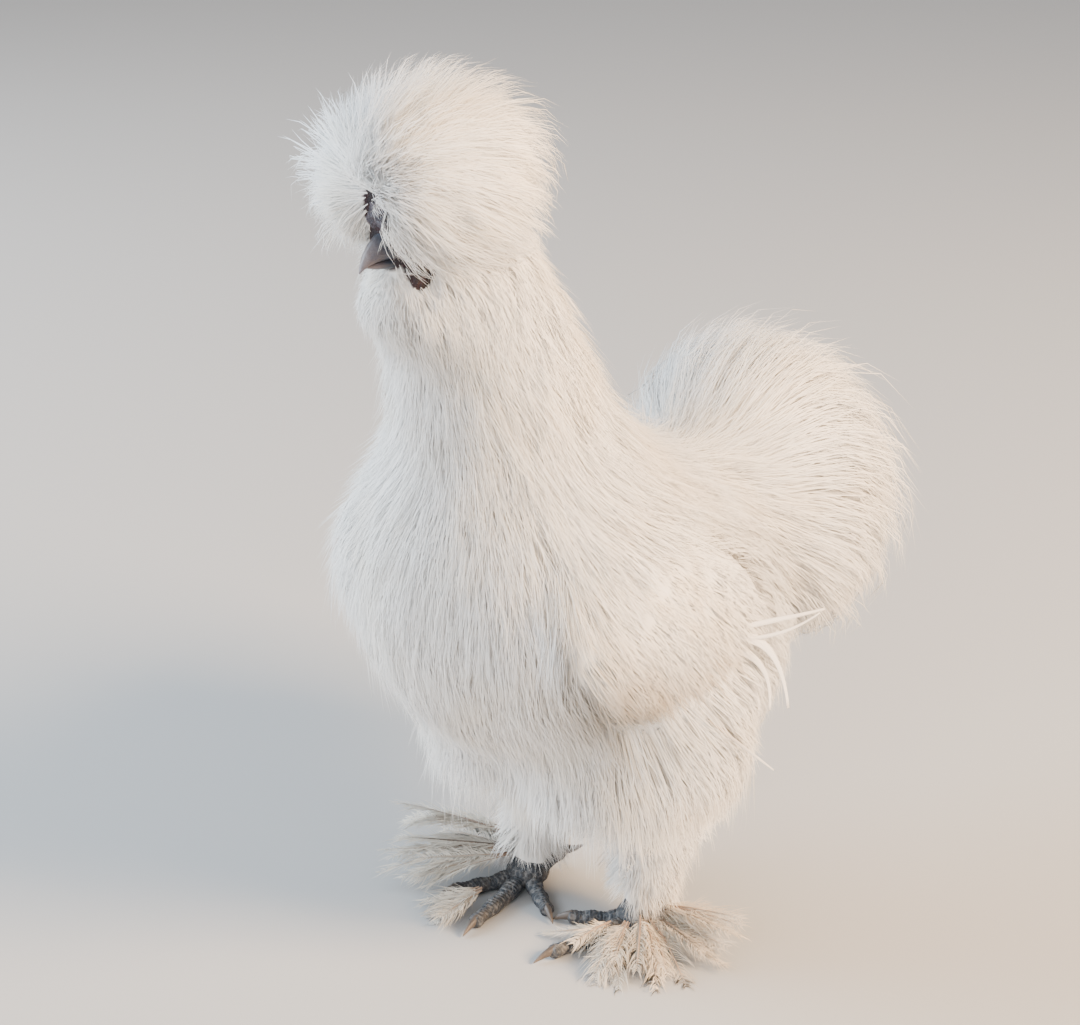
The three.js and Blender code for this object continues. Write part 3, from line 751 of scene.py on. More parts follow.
@dataclass(frozen=True)
class HornFinish:
    """Horn with growth streaks, from a base colour to a paler tip along the attribute "tip"."""

    name: str
    base: tuple
    tip: tuple
    streak: tuple

    def material(self) -> bpy.types.Material:
        """Builds the material.

        Returns:
            The material.
        """
        shader = Shader(self.name, {"Coat Weight": 0.15, "Coat Roughness": 0.3, "Specular IOR Level": 0.5})
        along = shader.value("tip").ramp(0.45, 1.0)
        horn = shader.mix(self.base, self.tip, along)
        streaks = shader.noise(520.0, 4.0, (1.0, 0.25, 1.0)).ramp(0.45, 0.75)
        shader.feed("Base Color", shader.mix(horn, self.streak, streaks * 0.45))
        shader.feed("Roughness", 0.34 + shader.noise(900.0) * 0.22)
        shader.bump(shader.noise(1500.0, 3.0, (1.0, 0.2, 1.0)), 0.00025)
        return shader.material


@dataclass(frozen=True)
class FootFinish:
    """Slate foot skin with dusty pale scute edges along the attribute "edge" and pebbled sides."""

    slate: tuple = colour(0.045, 0.05, 0.058)
    pale: tuple = colour(0.23, 0.22, 0.21)
    dust: tuple = colour(0.13, 0.11, 0.09)

    def material(self) -> bpy.types.Material:
        """Builds the material.

        Returns:
            The material.
        """
        shader = Shader("foot_skin", {"Specular IOR Level": 0.35})
        cells = shader.cells(640.0)
        patchy = shader.noise(420.0).ramp(0.3, 0.65)
        skin = shader.mix(self.slate, self.dust, shader.noise(180.0).ramp(0.45, 0.75) * 0.6)
        skin = shader.mix(skin, self.pale, cells.ramp(0.42, 0.75) * patchy * 0.6)
        skin = shader.mix(skin, self.pale, shader.value("edge") * (patchy * 0.6 + 0.05))
        shader.feed("Base Color", skin)
        shader.feed("Roughness", 0.55 + shader.noise(600.0) * 0.25)
        shader.bump(1.0 - cells, 0.0006)
        return shader.material


@dataclass(frozen=True)
class EyeFinish:
    """A dark, wet eye: a black pupil in a deep brown iris, by the distance from the eye's axis."""

    iris: tuple = colour(0.032, 0.014, 0.008)
    pupil: tuple = colour(0.004, 0.003, 0.003)
    pupil_edge: tuple = (0.36, 0.44)

    def material(self) -> bpy.types.Material:
        """Builds the material.

        Returns:
            The material.
        """
        shader = Shader("eye", {"Roughness": 0.06, "Coat Weight": 1.0, "Coat Roughness": 0.02})
        ring = shader.value("edge").ramp(*self.pupil_edge)
        fibres = shader.noise(1600.0).ramp(0.3, 0.8) * 0.6 + 0.4
        shader.feed("Base Color", shader.mix(self.pupil, self.iris, ring * fibres))
        return shader.material


@dataclass(frozen=True)
class FloorFinish:
    """A plain pale studio floor."""

    tone: tuple = colour(0.5, 0.5, 0.495)

    def material(self) -> bpy.types.Material:
        """Builds the material."""
        return Shader("floor", {"Base Color": self.tone, "Roughness": 0.85}).material


# The bird's bare form, as the solids have it


def two(make: Callable[[int], Distance]) -> list[Distance]:
    """A paired form on the left and on the right."""
    return [make(side.value) for side in Side]


TORSO = blend(
    18.0,
    ellipsoid((0, -1, BODY_HEIGHT + 2), (52, 85, 53), -22),
    ellipsoid((0, -43, 187), (46, 40, 45)),
    ellipsoid((0, 40, 110), (36, 34, 30)),
)
NECK = chain((0, -38, 196, 36), (0, -52, 250, 25), (0, -70, 306, 15))
HEAD = blend(
    3.0,
    ellipsoid((0, -HEAD_FORWARD, HEAD_HEIGHT), (14.5, 21, 16.5), 8),
    ellipsoid((0, -BEAK_BASE - 0.5, MOUTH_HEIGHT + 5.5), (8.7, 5.0, 7.2)),
)
BEARD = blend(
    8.0,
    ellipsoid((0, -91, 294), (14, 9, 7)),
    ellipsoid((0, -96, 302), (9, 8, 6)),
    *two(lambda s: ellipsoid((15 * s, -80, 306), (5, 8, 10))),
    ellipsoid((0, -76, 296), (17, 12, 10)),
)
TAIL = ellipsoid((0, 102, 168), (26, 33, 41), 14)


def wing_form(side: int) -> Distance:
    """The folded wing."""
    return ellipsoid((side * 58, -16, 156), (15, 54, 31), -14)


def thigh_form(side: int) -> Distance:
    """The thigh under its fluff."""
    return chain((side * 37, 2, 122, 26), (side * 35, 7, 98, 25), (side * 32, 12, 76, 14))


def shank_form(side: int) -> Distance:
    """The shank from hock to foot."""
    stagger = side * FOOT_STAGGER
    return chain((side * STANCE, 12 + stagger, 66, 6.5), (side * STANCE, 3 + stagger, 17, 5.5))


# The skin lies at the core that the solids have under their locks, or a little inside it
PUFF = blend(
    8.0,
    ellipsoid(tuple(CROWN), (30, 29, 20)),
    *two(lambda s: ellipsoid((14.5 * s, CROWN[1] - 6, CROWN[2] - 10), (14, 20, 13))),
)
# A slit over the comb parts the crest
CREST = carved(6.0, PUFF, chain((0, -122, 322, 7.5), (0, -118, 338, 5.5), (0, -116, 346, 3)))
FLESH = blend(10.0, grown(TORSO, 9.0), grown(NECK, 7.0), grown(TAIL, 9.0),
              *two(lambda s: grown(thigh_form(s), 7.0)))
COVERED = blend(9.0, FLESH, HEAD, CREST, grown(BEARD, 2.0), *two(lambda s: grown(shank_form(s), 3.0)))
WINGS = blend(0.1, *two(wing_form))
SKIN = blend(24.0, COVERED, WINGS)


def skirt_form(side: int) -> Distance:
    """The bell over which the thigh's plumes hang free of the shank.

    Args:
        side: 1 on the left and -1 on the right.

    Returns:
        The form.
    """
    rear = chain((side * 37, 2, 122, 31), (side * 35, 6, 98, 31), (side * 32, 9 + side * 2, 66, 26),
                 (side * 31, 8 + side * 2, 40, 25))
    front = chain((side * 34, -12, 112, 32), (side * 29, -14 + side * 2, 66, 25),
                  (side * 29, -12 + side * 2, 48, 22))
    return blend(12.0, rear, front)


# The form over which the plumes of body and thighs hang
SKIRTED = blend(10.0, FLESH, *two(skirt_form))
HUNG = blend(24.0, blend(9.0, SKIRTED, HEAD, CREST, grown(BEARD, 2.0)), WINGS)


@dataclass(frozen=True)
class Growth:
    """How the plumage grows on one part of the body.

    Fields:
        length: The plumes' length along the lie.
        lift: How far the tips of the plumes stand off the skin.
        width: A strand's width.
        tuft: A tuft's radius at its root.
        gather: The share of that radius which is left at the tip.
        curl: How far single strands stray at their tips.
        hold: How much a plume keeps to its own part's lie where it reaches over the next part.
    """

    length: float
    lift: float
    width: float
    tuft: float
    gather: float
    curl: float
    hold: float = 0.3


class Region(Enum):
    """The parts of the coat, in the order of their tiles on the OFBake map and of the rows of lies()."""

    TORSO = 0
    NECK = 1
    FACE = 2
    CREST = 3
    BEARD = 4
    TAIL = 5
    WING = 6
    THIGH = 7
    SHANK = 8


def either(make: Callable[[int], Distance]) -> Distance:
    """The distance to the nearer one of a pair."""
    return lambda p: np.minimum(*(form(p) for form in two(make)))


def winged(p: Points) -> Points:
    """The distance to the nearer wing, but further past its front end, which the breast's plumes cover."""
    return either(wing_form)(p) + 12.0 * smoothstep(-38.0, -60.0, p[..., 1])


FORMS: dict[Region, Distance] = {
    Region.TORSO: TORSO,
    Region.NECK: NECK,
    Region.FACE: HEAD,
    Region.CREST: CREST,
    Region.BEARD: BEARD,
    Region.TAIL: TAIL,
    Region.WING: winged,
    Region.THIGH: either(thigh_form),
    Region.SHANK: either(shank_form),
}

GROWTHS: dict[Region, Growth] = {
    Region.TORSO: Growth(length=42, lift=15, width=0.39, tuft=4.4, gather=1.0, curl=2.6, hold=0.6),
    Region.NECK: Growth(length=34, lift=11, width=0.35, tuft=3.8, gather=1.0, curl=2.2),
    Region.FACE: Growth(length=12, lift=7, width=0.34, tuft=2.0, gather=1.0, curl=1.3, hold=0.9),
    Region.CREST: Growth(length=15, lift=11, width=0.33, tuft=2.7, gather=1.1, curl=3.0, hold=1.0),
    Region.BEARD: Growth(length=16, lift=12, width=0.36, tuft=2.6, gather=1.1, curl=2.0, hold=0.9),
    Region.TAIL: Growth(length=62, lift=30, width=0.44, tuft=4.0, gather=1.0, curl=3.4, hold=0.9),
    Region.WING: Growth(length=27, lift=7, width=0.4, tuft=3.2, gather=0.85, curl=2.2, hold=0.8),
    Region.THIGH: Growth(length=42, lift=11, width=0.38, tuft=4.0, gather=1.0, curl=2.6, hold=0.8),
    Region.SHANK: Growth(length=13, lift=9.5, width=0.34, tuft=2.6, gather=1.1, curl=2.2, hold=0.9),
}


def grown_sizes(key: str) -> Points:
    """One of the growths' sizes, by region."""
    return np.array([getattr(GROWTHS[region], key) for region in Region])


REGION_FADE = 6.0


def belonging(p: Points) -> Points:
    """How much each region holds at each point: exp(-more / REGION_FADE), where more is how much further
    its form is than the nearest one, as a share of all regions' sum.

    Args:
        p: Points.

    Returns:
        Points by regions.
    """
    distances = np.stack([FORMS[region](p) for region in Region], -1)
    shares = np.exp(-(distances - distances.min(-1, keepdims=True)) / REGION_FADE)
    return shares / shares.sum(-1, keepdims=True)


# Where the tail's plumes spring from, and where the crest's part
TAIL_SPRING = np.array([0.0, 50.0, 172.0])
CREST_PARTING = np.array([0.0, -112.0, 334.0])


def lies(p: Points) -> Points:
    """Each region's lie of the coat at each point.

    The plumes hang, and sweep backwards more and more along the back and the flank. Those of the crest and
    the tail lie away from one point each, and sag with the distance from it.

    Args:
        p: Points.

    Returns:
        Points by regions by 3, of any length.
    """
    x, y, z = p[..., 0], p[..., 1], p[..., 2]
    side = np.sign(x) + (x == 0)
    still = np.zeros_like(x)
    back = smoothstep(-80, 10, y) * smoothstep(90, 200, z)
    flank = smoothstep(-85, -20, y) * smoothstep(60, 110, z) * smoothstep(190, 150, z)
    rump = 0.9 * smoothstep(-38, 12, y) * smoothstep(50, 115, z)
    spring = p - TAIL_SPRING
    sag = np.linalg.norm(spring, axis=-1) * (0.12 + 0.75 * smoothstep(75, 150, y))
    parting = p - CREST_PARTING
    droop = 0.4 * np.linalg.norm(parting, axis=-1)
    rows = {
        Region.TORSO: (0.018 * x * back, 0.12 + 0.7 * flank + 1.1 * back, -1 + 0.6 * back),
        Region.NECK: (0.01 * x, 0.22, -1),
        Region.FACE: (0.25 * side, 0.8, -0.35),
        Region.CREST: (parting[..., 0], parting[..., 1], parting[..., 2] - droop),
        Region.BEARD: (0.03 * x, -0.2, -1),
        Region.TAIL: (spring[..., 0] * 0.8, spring[..., 1], spring[..., 2] - sag),
        Region.WING: (0.0, 0.6, -0.75),
        Region.THIGH: (0.004 * (x - 34 * side), 0.05 + rump, -1),
        Region.SHANK: (0.03 * (x - STANCE * side), 0.0, -1),
    }
    return np.stack([np.stack([still + part for part in rows[region]], -1) for region in Region], -2)


CENTRES: dict[Region, Points] = {
    Region.TORSO: np.array([0.0, -8.0, 154.0]),
    Region.NECK: np.array([0.0, -54.0, 254.0]),
    Region.FACE: np.array([0.0, -HEAD_FORWARD, HEAD_HEIGHT]),
    Region.CREST: CROWN,
    Region.BEARD: np.array([0.0, -80.0, 298.0]),
    Region.TAIL: np.array([0.0, 102.0, 168.0]),
    Region.WING: np.array([58.0, -16.0, 156.0]),
    Region.THIGH: np.array([35.0, 6.0, 102.0]),
    Region.SHANK: np.array([STANCE, 8.0, 42.0]),
}


TILES = 4
TILE_MARGIN = 0.03


def unwrap(p: Points, region: Region) -> Points:
    """Places on the skin's unwrap: longitude and latitude about a region's centre, in the region's own
    tile of a square map. The left and right of a pair lie in the tile's two halves.

    Args:
        p: Points.
        region: The part of the body that they are on.

    Returns:
        Points by 2, from 0 to 1.
    """
    paired = region in (Region.WING, Region.THIGH, Region.SHANK)
    local = p.copy()
    if paired:
        local[..., 0] = np.abs(local[..., 0])
    d = unit(local - CENTRES[region])
    u = 0.5 + np.arctan2(d[..., 0], -d[..., 1]) / (2.0 * math.pi)
    v = np.arccos(np.clip(d[..., 2], -1.0, 1.0)) / math.pi
    if paired:
        u = np.where(p[..., 0] > 0, u, u + 1.0) / 2.0
    tile = np.array([region.value % TILES, region.value // TILES])
    return (tile + TILE_MARGIN + (1.0 - 2.0 * TILE_MARGIN) * np.stack([u, v], -1)) / TILES


# Plumage

# The stations of a strand, those of a short one, and the side of its patch on the OFBake map
STRAND = (0.0, 0.38, 0.72, 1.0)
SHORT_STRAND = (0.0, 0.5, 1.0)
PATCH = 0.003
# How far the patches of a tuft's strands lie apart there
PATCH_SPREAD = 0.0008


def strands(
    share: Points,
    path: Points,
    across: Points,
    up: Points,
    width: Points,
    place: Points,
    rng: np.random.Generator,
    softness: float,
) -> dict[str, Points]:
    """Thin closed strands: at each station a flat triangle, two edges and a ridge, and a pointed tip.

    Half a strand's width at share t of its length is width / 2 times a taper that rises from 0.8 to 1 and
    falls to a point. Its shading leans from its own sides to the coat's outward direction, as in down.

    Args:
        share: Shares of the way to the tip of the path's points, one row.
        path: Strands by points by 3.
        across: Their side direction at the points.
        up: The coat's outward direction there.
        width: Each strand's greatest width.
        place: Each strand's place on the OFBake map.
        rng: The source of chance.
        softness: The outward direction's share of the shading.

    Returns:
        Points, faces, uv by face corner, normals, and the vertices' shares of the way to the tip.
    """
    count, stations = path.shape[0], path.shape[1] - 1
    roll = rng.normal(0.0, 0.5, count)[:, None, None]
    side = across * np.cos(roll) + up * np.sin(roll)
    rise = up * np.cos(roll) - across * np.sin(roll)
    taper = np.interp(share[:-1], (0.0, 0.35, 0.75, 1.0), (0.8, 1.0, 0.7, 0.0))
    half = 0.5 * width[:, None, None] * taper[None, :, None]
    ways = np.stack([-side, side, rise], 2)[:, :-1]
    ring = path[:, :-1, None] + ways * half[:, :, None] * np.array([1.0, 1.0, 0.7])[:, None]
    points = np.concatenate([ring.reshape(count, -1, 3), path[:, -1:]], 1)
    shaded = unit(ways * (1 - softness) + up[:, :-1, None] * softness)
    normals = np.concatenate([shaded.reshape(count, -1, 3), up[:, -1:]], 1)
    tips = np.concatenate([np.repeat(share[:-1], 3), share[-1:]])
    faces = []
    for k in range(stations - 1):
        for j in range(3):
            a, b = 3 * k + j, 3 * k + (j + 1) % 3
            faces += [(a, b + 3, b), (a, a + 3, b + 3)]
    last = 3 * (stations - 1)
    faces += [(last + (j + 1) % 3, last + j, 3 * stations) for j in range(3)] + [(0, 1, 2)]
    pattern = np.array(faces)
    per = 3 * stations + 1
    aside = np.tile([-PATCH / 2, PATCH / 2, 0.0], stations + 1)[:per]
    corner = np.stack([aside, PATCH * tips - PATCH / 2], -1)
    uv = place[:, None, None, :] + corner[pattern][None]
    triangles = pattern[None] + per * np.arange(count)[:, None, None]
    return {"points": points.reshape(-1, 3), "faces": triangles.reshape(-1, 3), "uv": uv.reshape(-1, 2),
            "normals": normals.reshape(-1, 3), "tips": np.tile(tips, count)}


def gathered(parts: list[dict[str, Points]]) -> dict[str, Points]:
    """Several sets of strands as one.

    Args:
        parts: What strands() gives.

    Returns:
        The same, of all of them.
    """
    whole = {key: np.concatenate([part[key] for part in parts]) for key in parts[0]}
    starts = np.cumsum([0] + [len(part["points"]) for part in parts[:-1]])
    whole["faces"] = np.concatenate([part["faces"] + start for part, start in zip(parts, starts)])
    return whole


# How far plumage stays above the floor
FLOOR_GAP = 0.4


def plumage_piece(name: str, made: dict[str, Points], nodes: tuple[str, ...],
                  material: bpy.types.Material) -> bpy.types.Object:
    """Strands as a piece of the bird that stays just above the floor."""
    made["points"][:, 2] = np.maximum(made["points"][:, 2], FLOOR_GAP)
    return make_piece(name, made["points"], made["faces"], nodes, material, made["uv"],
                      {"tip": made["tips"]}, made["normals"])


@dataclass
class Coat:
    """The plumage of one part of the bird, grown in tufts from its skin.

    Fields:
        name: The piece's name.
        regions: The parts of the body it grows on.
        tufts, each: The number of tufts, and of strands in each.
        seed: The seed of its random numbers.
        nodes: The CAD nodes it stands for.
        side: The side it is kept to, or 0.
        surface: The form along which its plumes lie.
        share: The stations of a strand.
        wild: The share of tufts that stand out as wisps, and how much further they reach.
        steps: The steps in which a tuft's line is laid.
        hem: How much shorter its plumes are at the lower hem.
        hem_from, hem_to: The heights between which the plumes grow from that length to their full one.
        least_share: The share of its regions below which no tuft grows.
        overlap: How far past the middle a coat of one side grows.
        softness: How much its strands are shaded as the coat's own surface.
        finish: Its material. slot: Not used.
    """

    name: str
    regions: tuple[Region, ...]
    tufts: int
    each: int
    seed: int
    nodes: tuple[str, ...] = ()
    side: int = 0
    surface: Distance = SKIN
    share: tuple[float, ...] = STRAND
    wild: tuple[float, float] = (0.06, 0.35)
    steps: int = 7
    hem: float = 0.0
    hem_from: float = 58.0
    hem_to: float = 108.0
    least_share: float = 0.12
    overlap: float = 1.0
    softness: float = 0.93
    slot: str = "plumage"
    finish: PlumageFinish = field(default_factory=PlumageFinish)

    def roots(self, skin: "Skin", rng: np.random.Generator) -> tuple[Points, Points]:
        """Strews the tufts' roots over the skin, by the area that is its regions' own.

        Args:
            skin: The skin.
            rng: The source of chance.

        Returns:
            The roots, and each one's shares of the regions.
        """
        own = skin.shares[:, [region.value for region in self.regions]].sum(-1)
        weight = skin.areas * own * (own > self.least_share) * skin.open
        if self.side:
            weight = weight * (skin.centres[:, 0] * self.side > -self.overlap)
        chosen = rng.choice(len(weight), self.tufts, p=weight / weight.sum())
        return skin.scattered(chosen, rng), skin.shares[chosen]

    def grow(self, skin: "Skin") -> bpy.types.Object:
        """Grows the coat and makes it one piece.

        A tuft's line starts under the skin, runs along the lie in equal steps and rises above the form as
        lift * (1 - (1 - t)^2). It turns a little from the lie, by chance and in waves.

        Args:
            skin: The skin.

        Returns:
            The piece.
        """
        rng = np.random.default_rng(self.seed)
        p, shares = self.roots(skin, rng)
        hold = (shares @ grown_sizes("hold"))[:, None]
        hem = self.hem * (1.0 - smoothstep(self.hem_from, self.hem_to, p[:, 2]))
        short = skin.shortness(p) * (1.0 - hem)
        wild = 1.0 + self.wild[1] * (rng.uniform(0, 1, len(p)) < self.wild[0])
        reach = wild * short * rng.uniform(0.8, 1.04, len(p)) * (1.0 + 0.07 * ripple(p, 34.0, self.seed))
        turn = rng.normal(0.0, 0.08, len(p)) + 0.12 * ripple(p, 70.0, self.seed)
        at = p - gradient(self.surface, p)
        path, ups, sides = [], [], []
        for k in range(self.steps + 1):
            up = gradient(self.surface, at)
            own = hold * shares + (1.0 - hold) * belonging(at)
            lie = np.einsum("nr,nrc->nc", own, unit(lies(at)))
            lie = unit(lie - dot(lie, up) * up)
            lie = lie * np.cos(turn)[:, None] + np.cross(lie, up) * np.sin(turn)[:, None]
            path.append(at)
            ups.append(up)
            sides.append(np.cross(lie, up))
            t = min((k + 1) / self.steps, 1.0)
            height = (own @ grown_sizes("lift")) * reach * (1.0 - (1.0 - t) ** 2)
            step = (shares @ grown_sizes("length")) * reach / self.steps
            at = settle(self.surface, at + lie * step[:, None], height, 2)
        line, up, across = (np.stack(x, 1) for x in (path, ups, sides))
        return self.piece(line, up, across, p, shares, rng)

    def piece(self, line: Points, up: Points, across: Points, p: Points, shares: Points,
              rng: np.random.Generator) -> bpy.types.Object:
        """Strands round each tuft's line. They keep their place beside it, gather and stray at their tips.

        Args:
            line: The tufts' lines, as tufts by points by 3.
            up: The outward direction there.
            across: The side direction there.
            p: The tufts' roots.
            shares: Their shares of the regions.
            rng: The source of chance.

        Returns:
            The piece.
        """
        count = len(p) * self.each
        of = np.repeat(np.arange(len(p)), self.each)
        reach = rng.uniform(0.72, 1.0, count)
        share = np.array(self.share)
        where = share[None] * reach[:, None] * (line.shape[1] - 1)
        low = np.minimum(where.astype(int), line.shape[1] - 2)
        rest = (where - low)[..., None]
        row = of[:, None]

        def along(values: Points) -> Points:
            """Values of the tufts' lines at the strands' stations."""
            return values[row, low] * (1 - rest) + values[row, low + 1] * rest

        spread, gather, curl, wide = (
            (shares @ grown_sizes(key))[of] for key in ("tuft", "gather", "curl", "width"))
        angle = rng.uniform(0, 2 * math.pi, count)
        radius = np.sqrt(rng.uniform(0, 1, count)) * spread
        beside, before = (radius * np.cos(angle))[:, None], (radius * np.sin(angle))[:, None]
        t = share[None]
        keep = 1 - t + gather[:, None] * t
        stray = curl[:, None] * rng.normal(0, 1, (2, count, 1))
        a = beside * keep + stray[0] * t**2
        b = before * keep * 0.5 * t + stray[1] * 0.6 * t**2
        side, out = along(across), unit(along(up))
        path = along(line) + side * a[..., None] + out * b[..., None]
        path = path + along(np.cross(up, across)) * before[..., None] * (1 - t[..., None])
        width = wide * rng.uniform(0.7, 1.3, count)
        place = unwrap(p, self.regions[0])[of] + rng.uniform(-PATCH_SPREAD, PATCH_SPREAD, (count, 2))
        made = strands(share, path, side, out, width, place, rng, self.softness)
        return plumage_piece(self.name, made, self.nodes, self.finish.material())


@dataclass
class Skin:
    """The one skin under the plumage: the blended body form, meshed finely and settled on its surface.

    Fields:
        voxel: The mesh's fineness.
        instep: The height up to which the insteps' inner sides are bare.
        least_length: The share of their length that the plumes next to the beak have.
        beak_near, beak_far: The distances from the beak at which they begin to grow longer, and have grown.
        lapped: How much shorter the plumes just above the wings are.
        points, faces: The mesh.
        centres, areas, shares, open: Each face's middle, area, regions and whether plumes grow there.
    """

    voxel: float = 2.2
    instep: float = 25.0
    least_length: float = 0.42
    beak_near: float = 8.0
    beak_far: float = 24.0
    lapped: float = 0.45
    points: Points = field(init=False)
    faces: Points = field(init=False)
    centres: Points = field(init=False)
    areas: Points = field(init=False)
    shares: Points = field(init=False)
    open: Points = field(init=False)

    def build(self) -> None:
        """Remeshes the body's forms as one and settles the points on SKIN."""
        points, faces = joined(self.shapes())
        mesh = bpy.data.meshes.new("form")
        mesh.from_pydata((points * MM).tolist(), [], faces.tolist())
        form = bpy.data.objects.new("form", mesh)
        bpy.context.scene.collection.objects.link(form)
        remesh = form.modifiers.new("remesh", "REMESH")
        remesh.mode = "VOXEL"
        remesh.voxel_size = self.voxel * MM
        evaluated = form.evaluated_get(bpy.context.evaluated_depsgraph_get())
        whole = evaluated.to_mesh()
        points = np.empty(len(whole.vertices) * 3, np.float32)
        whole.vertices.foreach_get("co", points)
        faces = np.empty(len(whole.polygons) * 4, np.int32)
        whole.polygons.foreach_get("vertices", faces)
        evaluated.to_mesh_clear()
        bpy.data.objects.remove(form)
        self.points = settle(SKIN, points.reshape(-1, 3).astype(float) / MM, 0.0, 5)
        self.faces = faces.reshape(-1, 4)
        self.survey()

    def shapes(self) -> list[tuple[Points, Points]]:
        """The body's forms as star surfaces.

        Returns:
            The points and triangles of each.
        """
        made = [star_surface(FORMS[region], CENTRES[region], rows, columns) for region, rows, columns in (
            (Region.TORSO, 40, 60), (Region.NECK, 40, 40), (Region.FACE, 24, 32),
            (Region.CREST, 24, 32), (Region.BEARD, 24, 32), (Region.TAIL, 32, 40))]
        for side in Side:
            s, stagger = side.value, np.array([0, side.value * FOOT_STAGGER, 0])
            made += [
                star_surface(wing_form(s), CENTRES[Region.WING] * side.mirror, 32, 32),
                star_surface(thigh_form(s), CENTRES[Region.THIGH] * side.mirror, 32, 32),
                star_surface(shank_form(s), CENTRES[Region.SHANK] * side.mirror + stagger, 24, 24),
            ]
        return made

    def survey(self) -> None:
        """Measures the faces: their middles, areas, regions and whether plumes grow there."""
        corners = self.points[self.faces]
        self.centres = corners.mean(1)
        self.areas = 0.5 * np.linalg.norm(
            np.cross(corners[:, 2] - corners[:, 0], corners[:, 3] - corners[:, 1]), axis=-1)
        self.shares = belonging(self.centres)
        self.open = (self.bareness(self.centres) < 0.5).astype(float)

    def bareness(self, p: Points) -> Points:
        """Where the skin is bare: at the bare spots and on the inner side of the insteps.

        Args:
            p: Points.

        Returns:
            1 there, and 0 where plumes grow.
        """
        bare = (p[:, 2] < self.instep) & (np.abs(p[:, 0]) < STANCE + 1.0)
        for middle, radius in BARE_SPOTS:
            bare |= np.linalg.norm(p - middle, axis=-1) < radius
        return bare.astype(float)

    def shortness(self, p: Points) -> Points:
        """The share of its length that a plume has, which keeps beak and wings in sight.

        Args:
            p: Points.

        Returns:
            The share at each point: less near the beak and just above the wings, and 1 elsewhere.
        """
        beak = np.linalg.norm(p - np.array([0, -BEAK_BASE, MOUTH_HEIGHT + 2]), axis=-1)
        above = smoothstep(24.0, 4.0, winged(p)) * smoothstep(158.0, 178.0, p[:, 2])
        far = smoothstep(self.beak_near, self.beak_far, beak)
        return (self.least_length + (1.0 - self.least_length) * far) * (1.0 - self.lapped * above)

    def scattered(self, chosen: Points, rng: np.random.Generator) -> Points:
        """Random points on the skin, by bilinear shares of a face's corners.

        Args:
            chosen: The faces' numbers.
            rng: The source of chance.

        Returns:
            A point on each.
        """
        corners = self.points[self.faces[chosen]]
        u, v = rng.uniform(0, 1, (2, len(chosen), 1))
        top = corners[:, 0] * (1 - u) + corners[:, 1] * u
        bottom = corners[:, 3] * (1 - u) + corners[:, 2] * u
        return top * (1 - v) + bottom * v

    def dress(self) -> bpy.types.Object:
        """Makes the skin a piece in place of the nodes of flesh.

        Returns:
            The piece.
        """
        nodes = ["torso", "neck", "head", "crest", "beard", "tail"]
        nodes += [f"{side.word}_{part}" for side in Side for part in ("wing", "thigh", "shank")]
        return make_piece("skin", self.points, self.faces, tuple(nodes), SkinFinish().material())


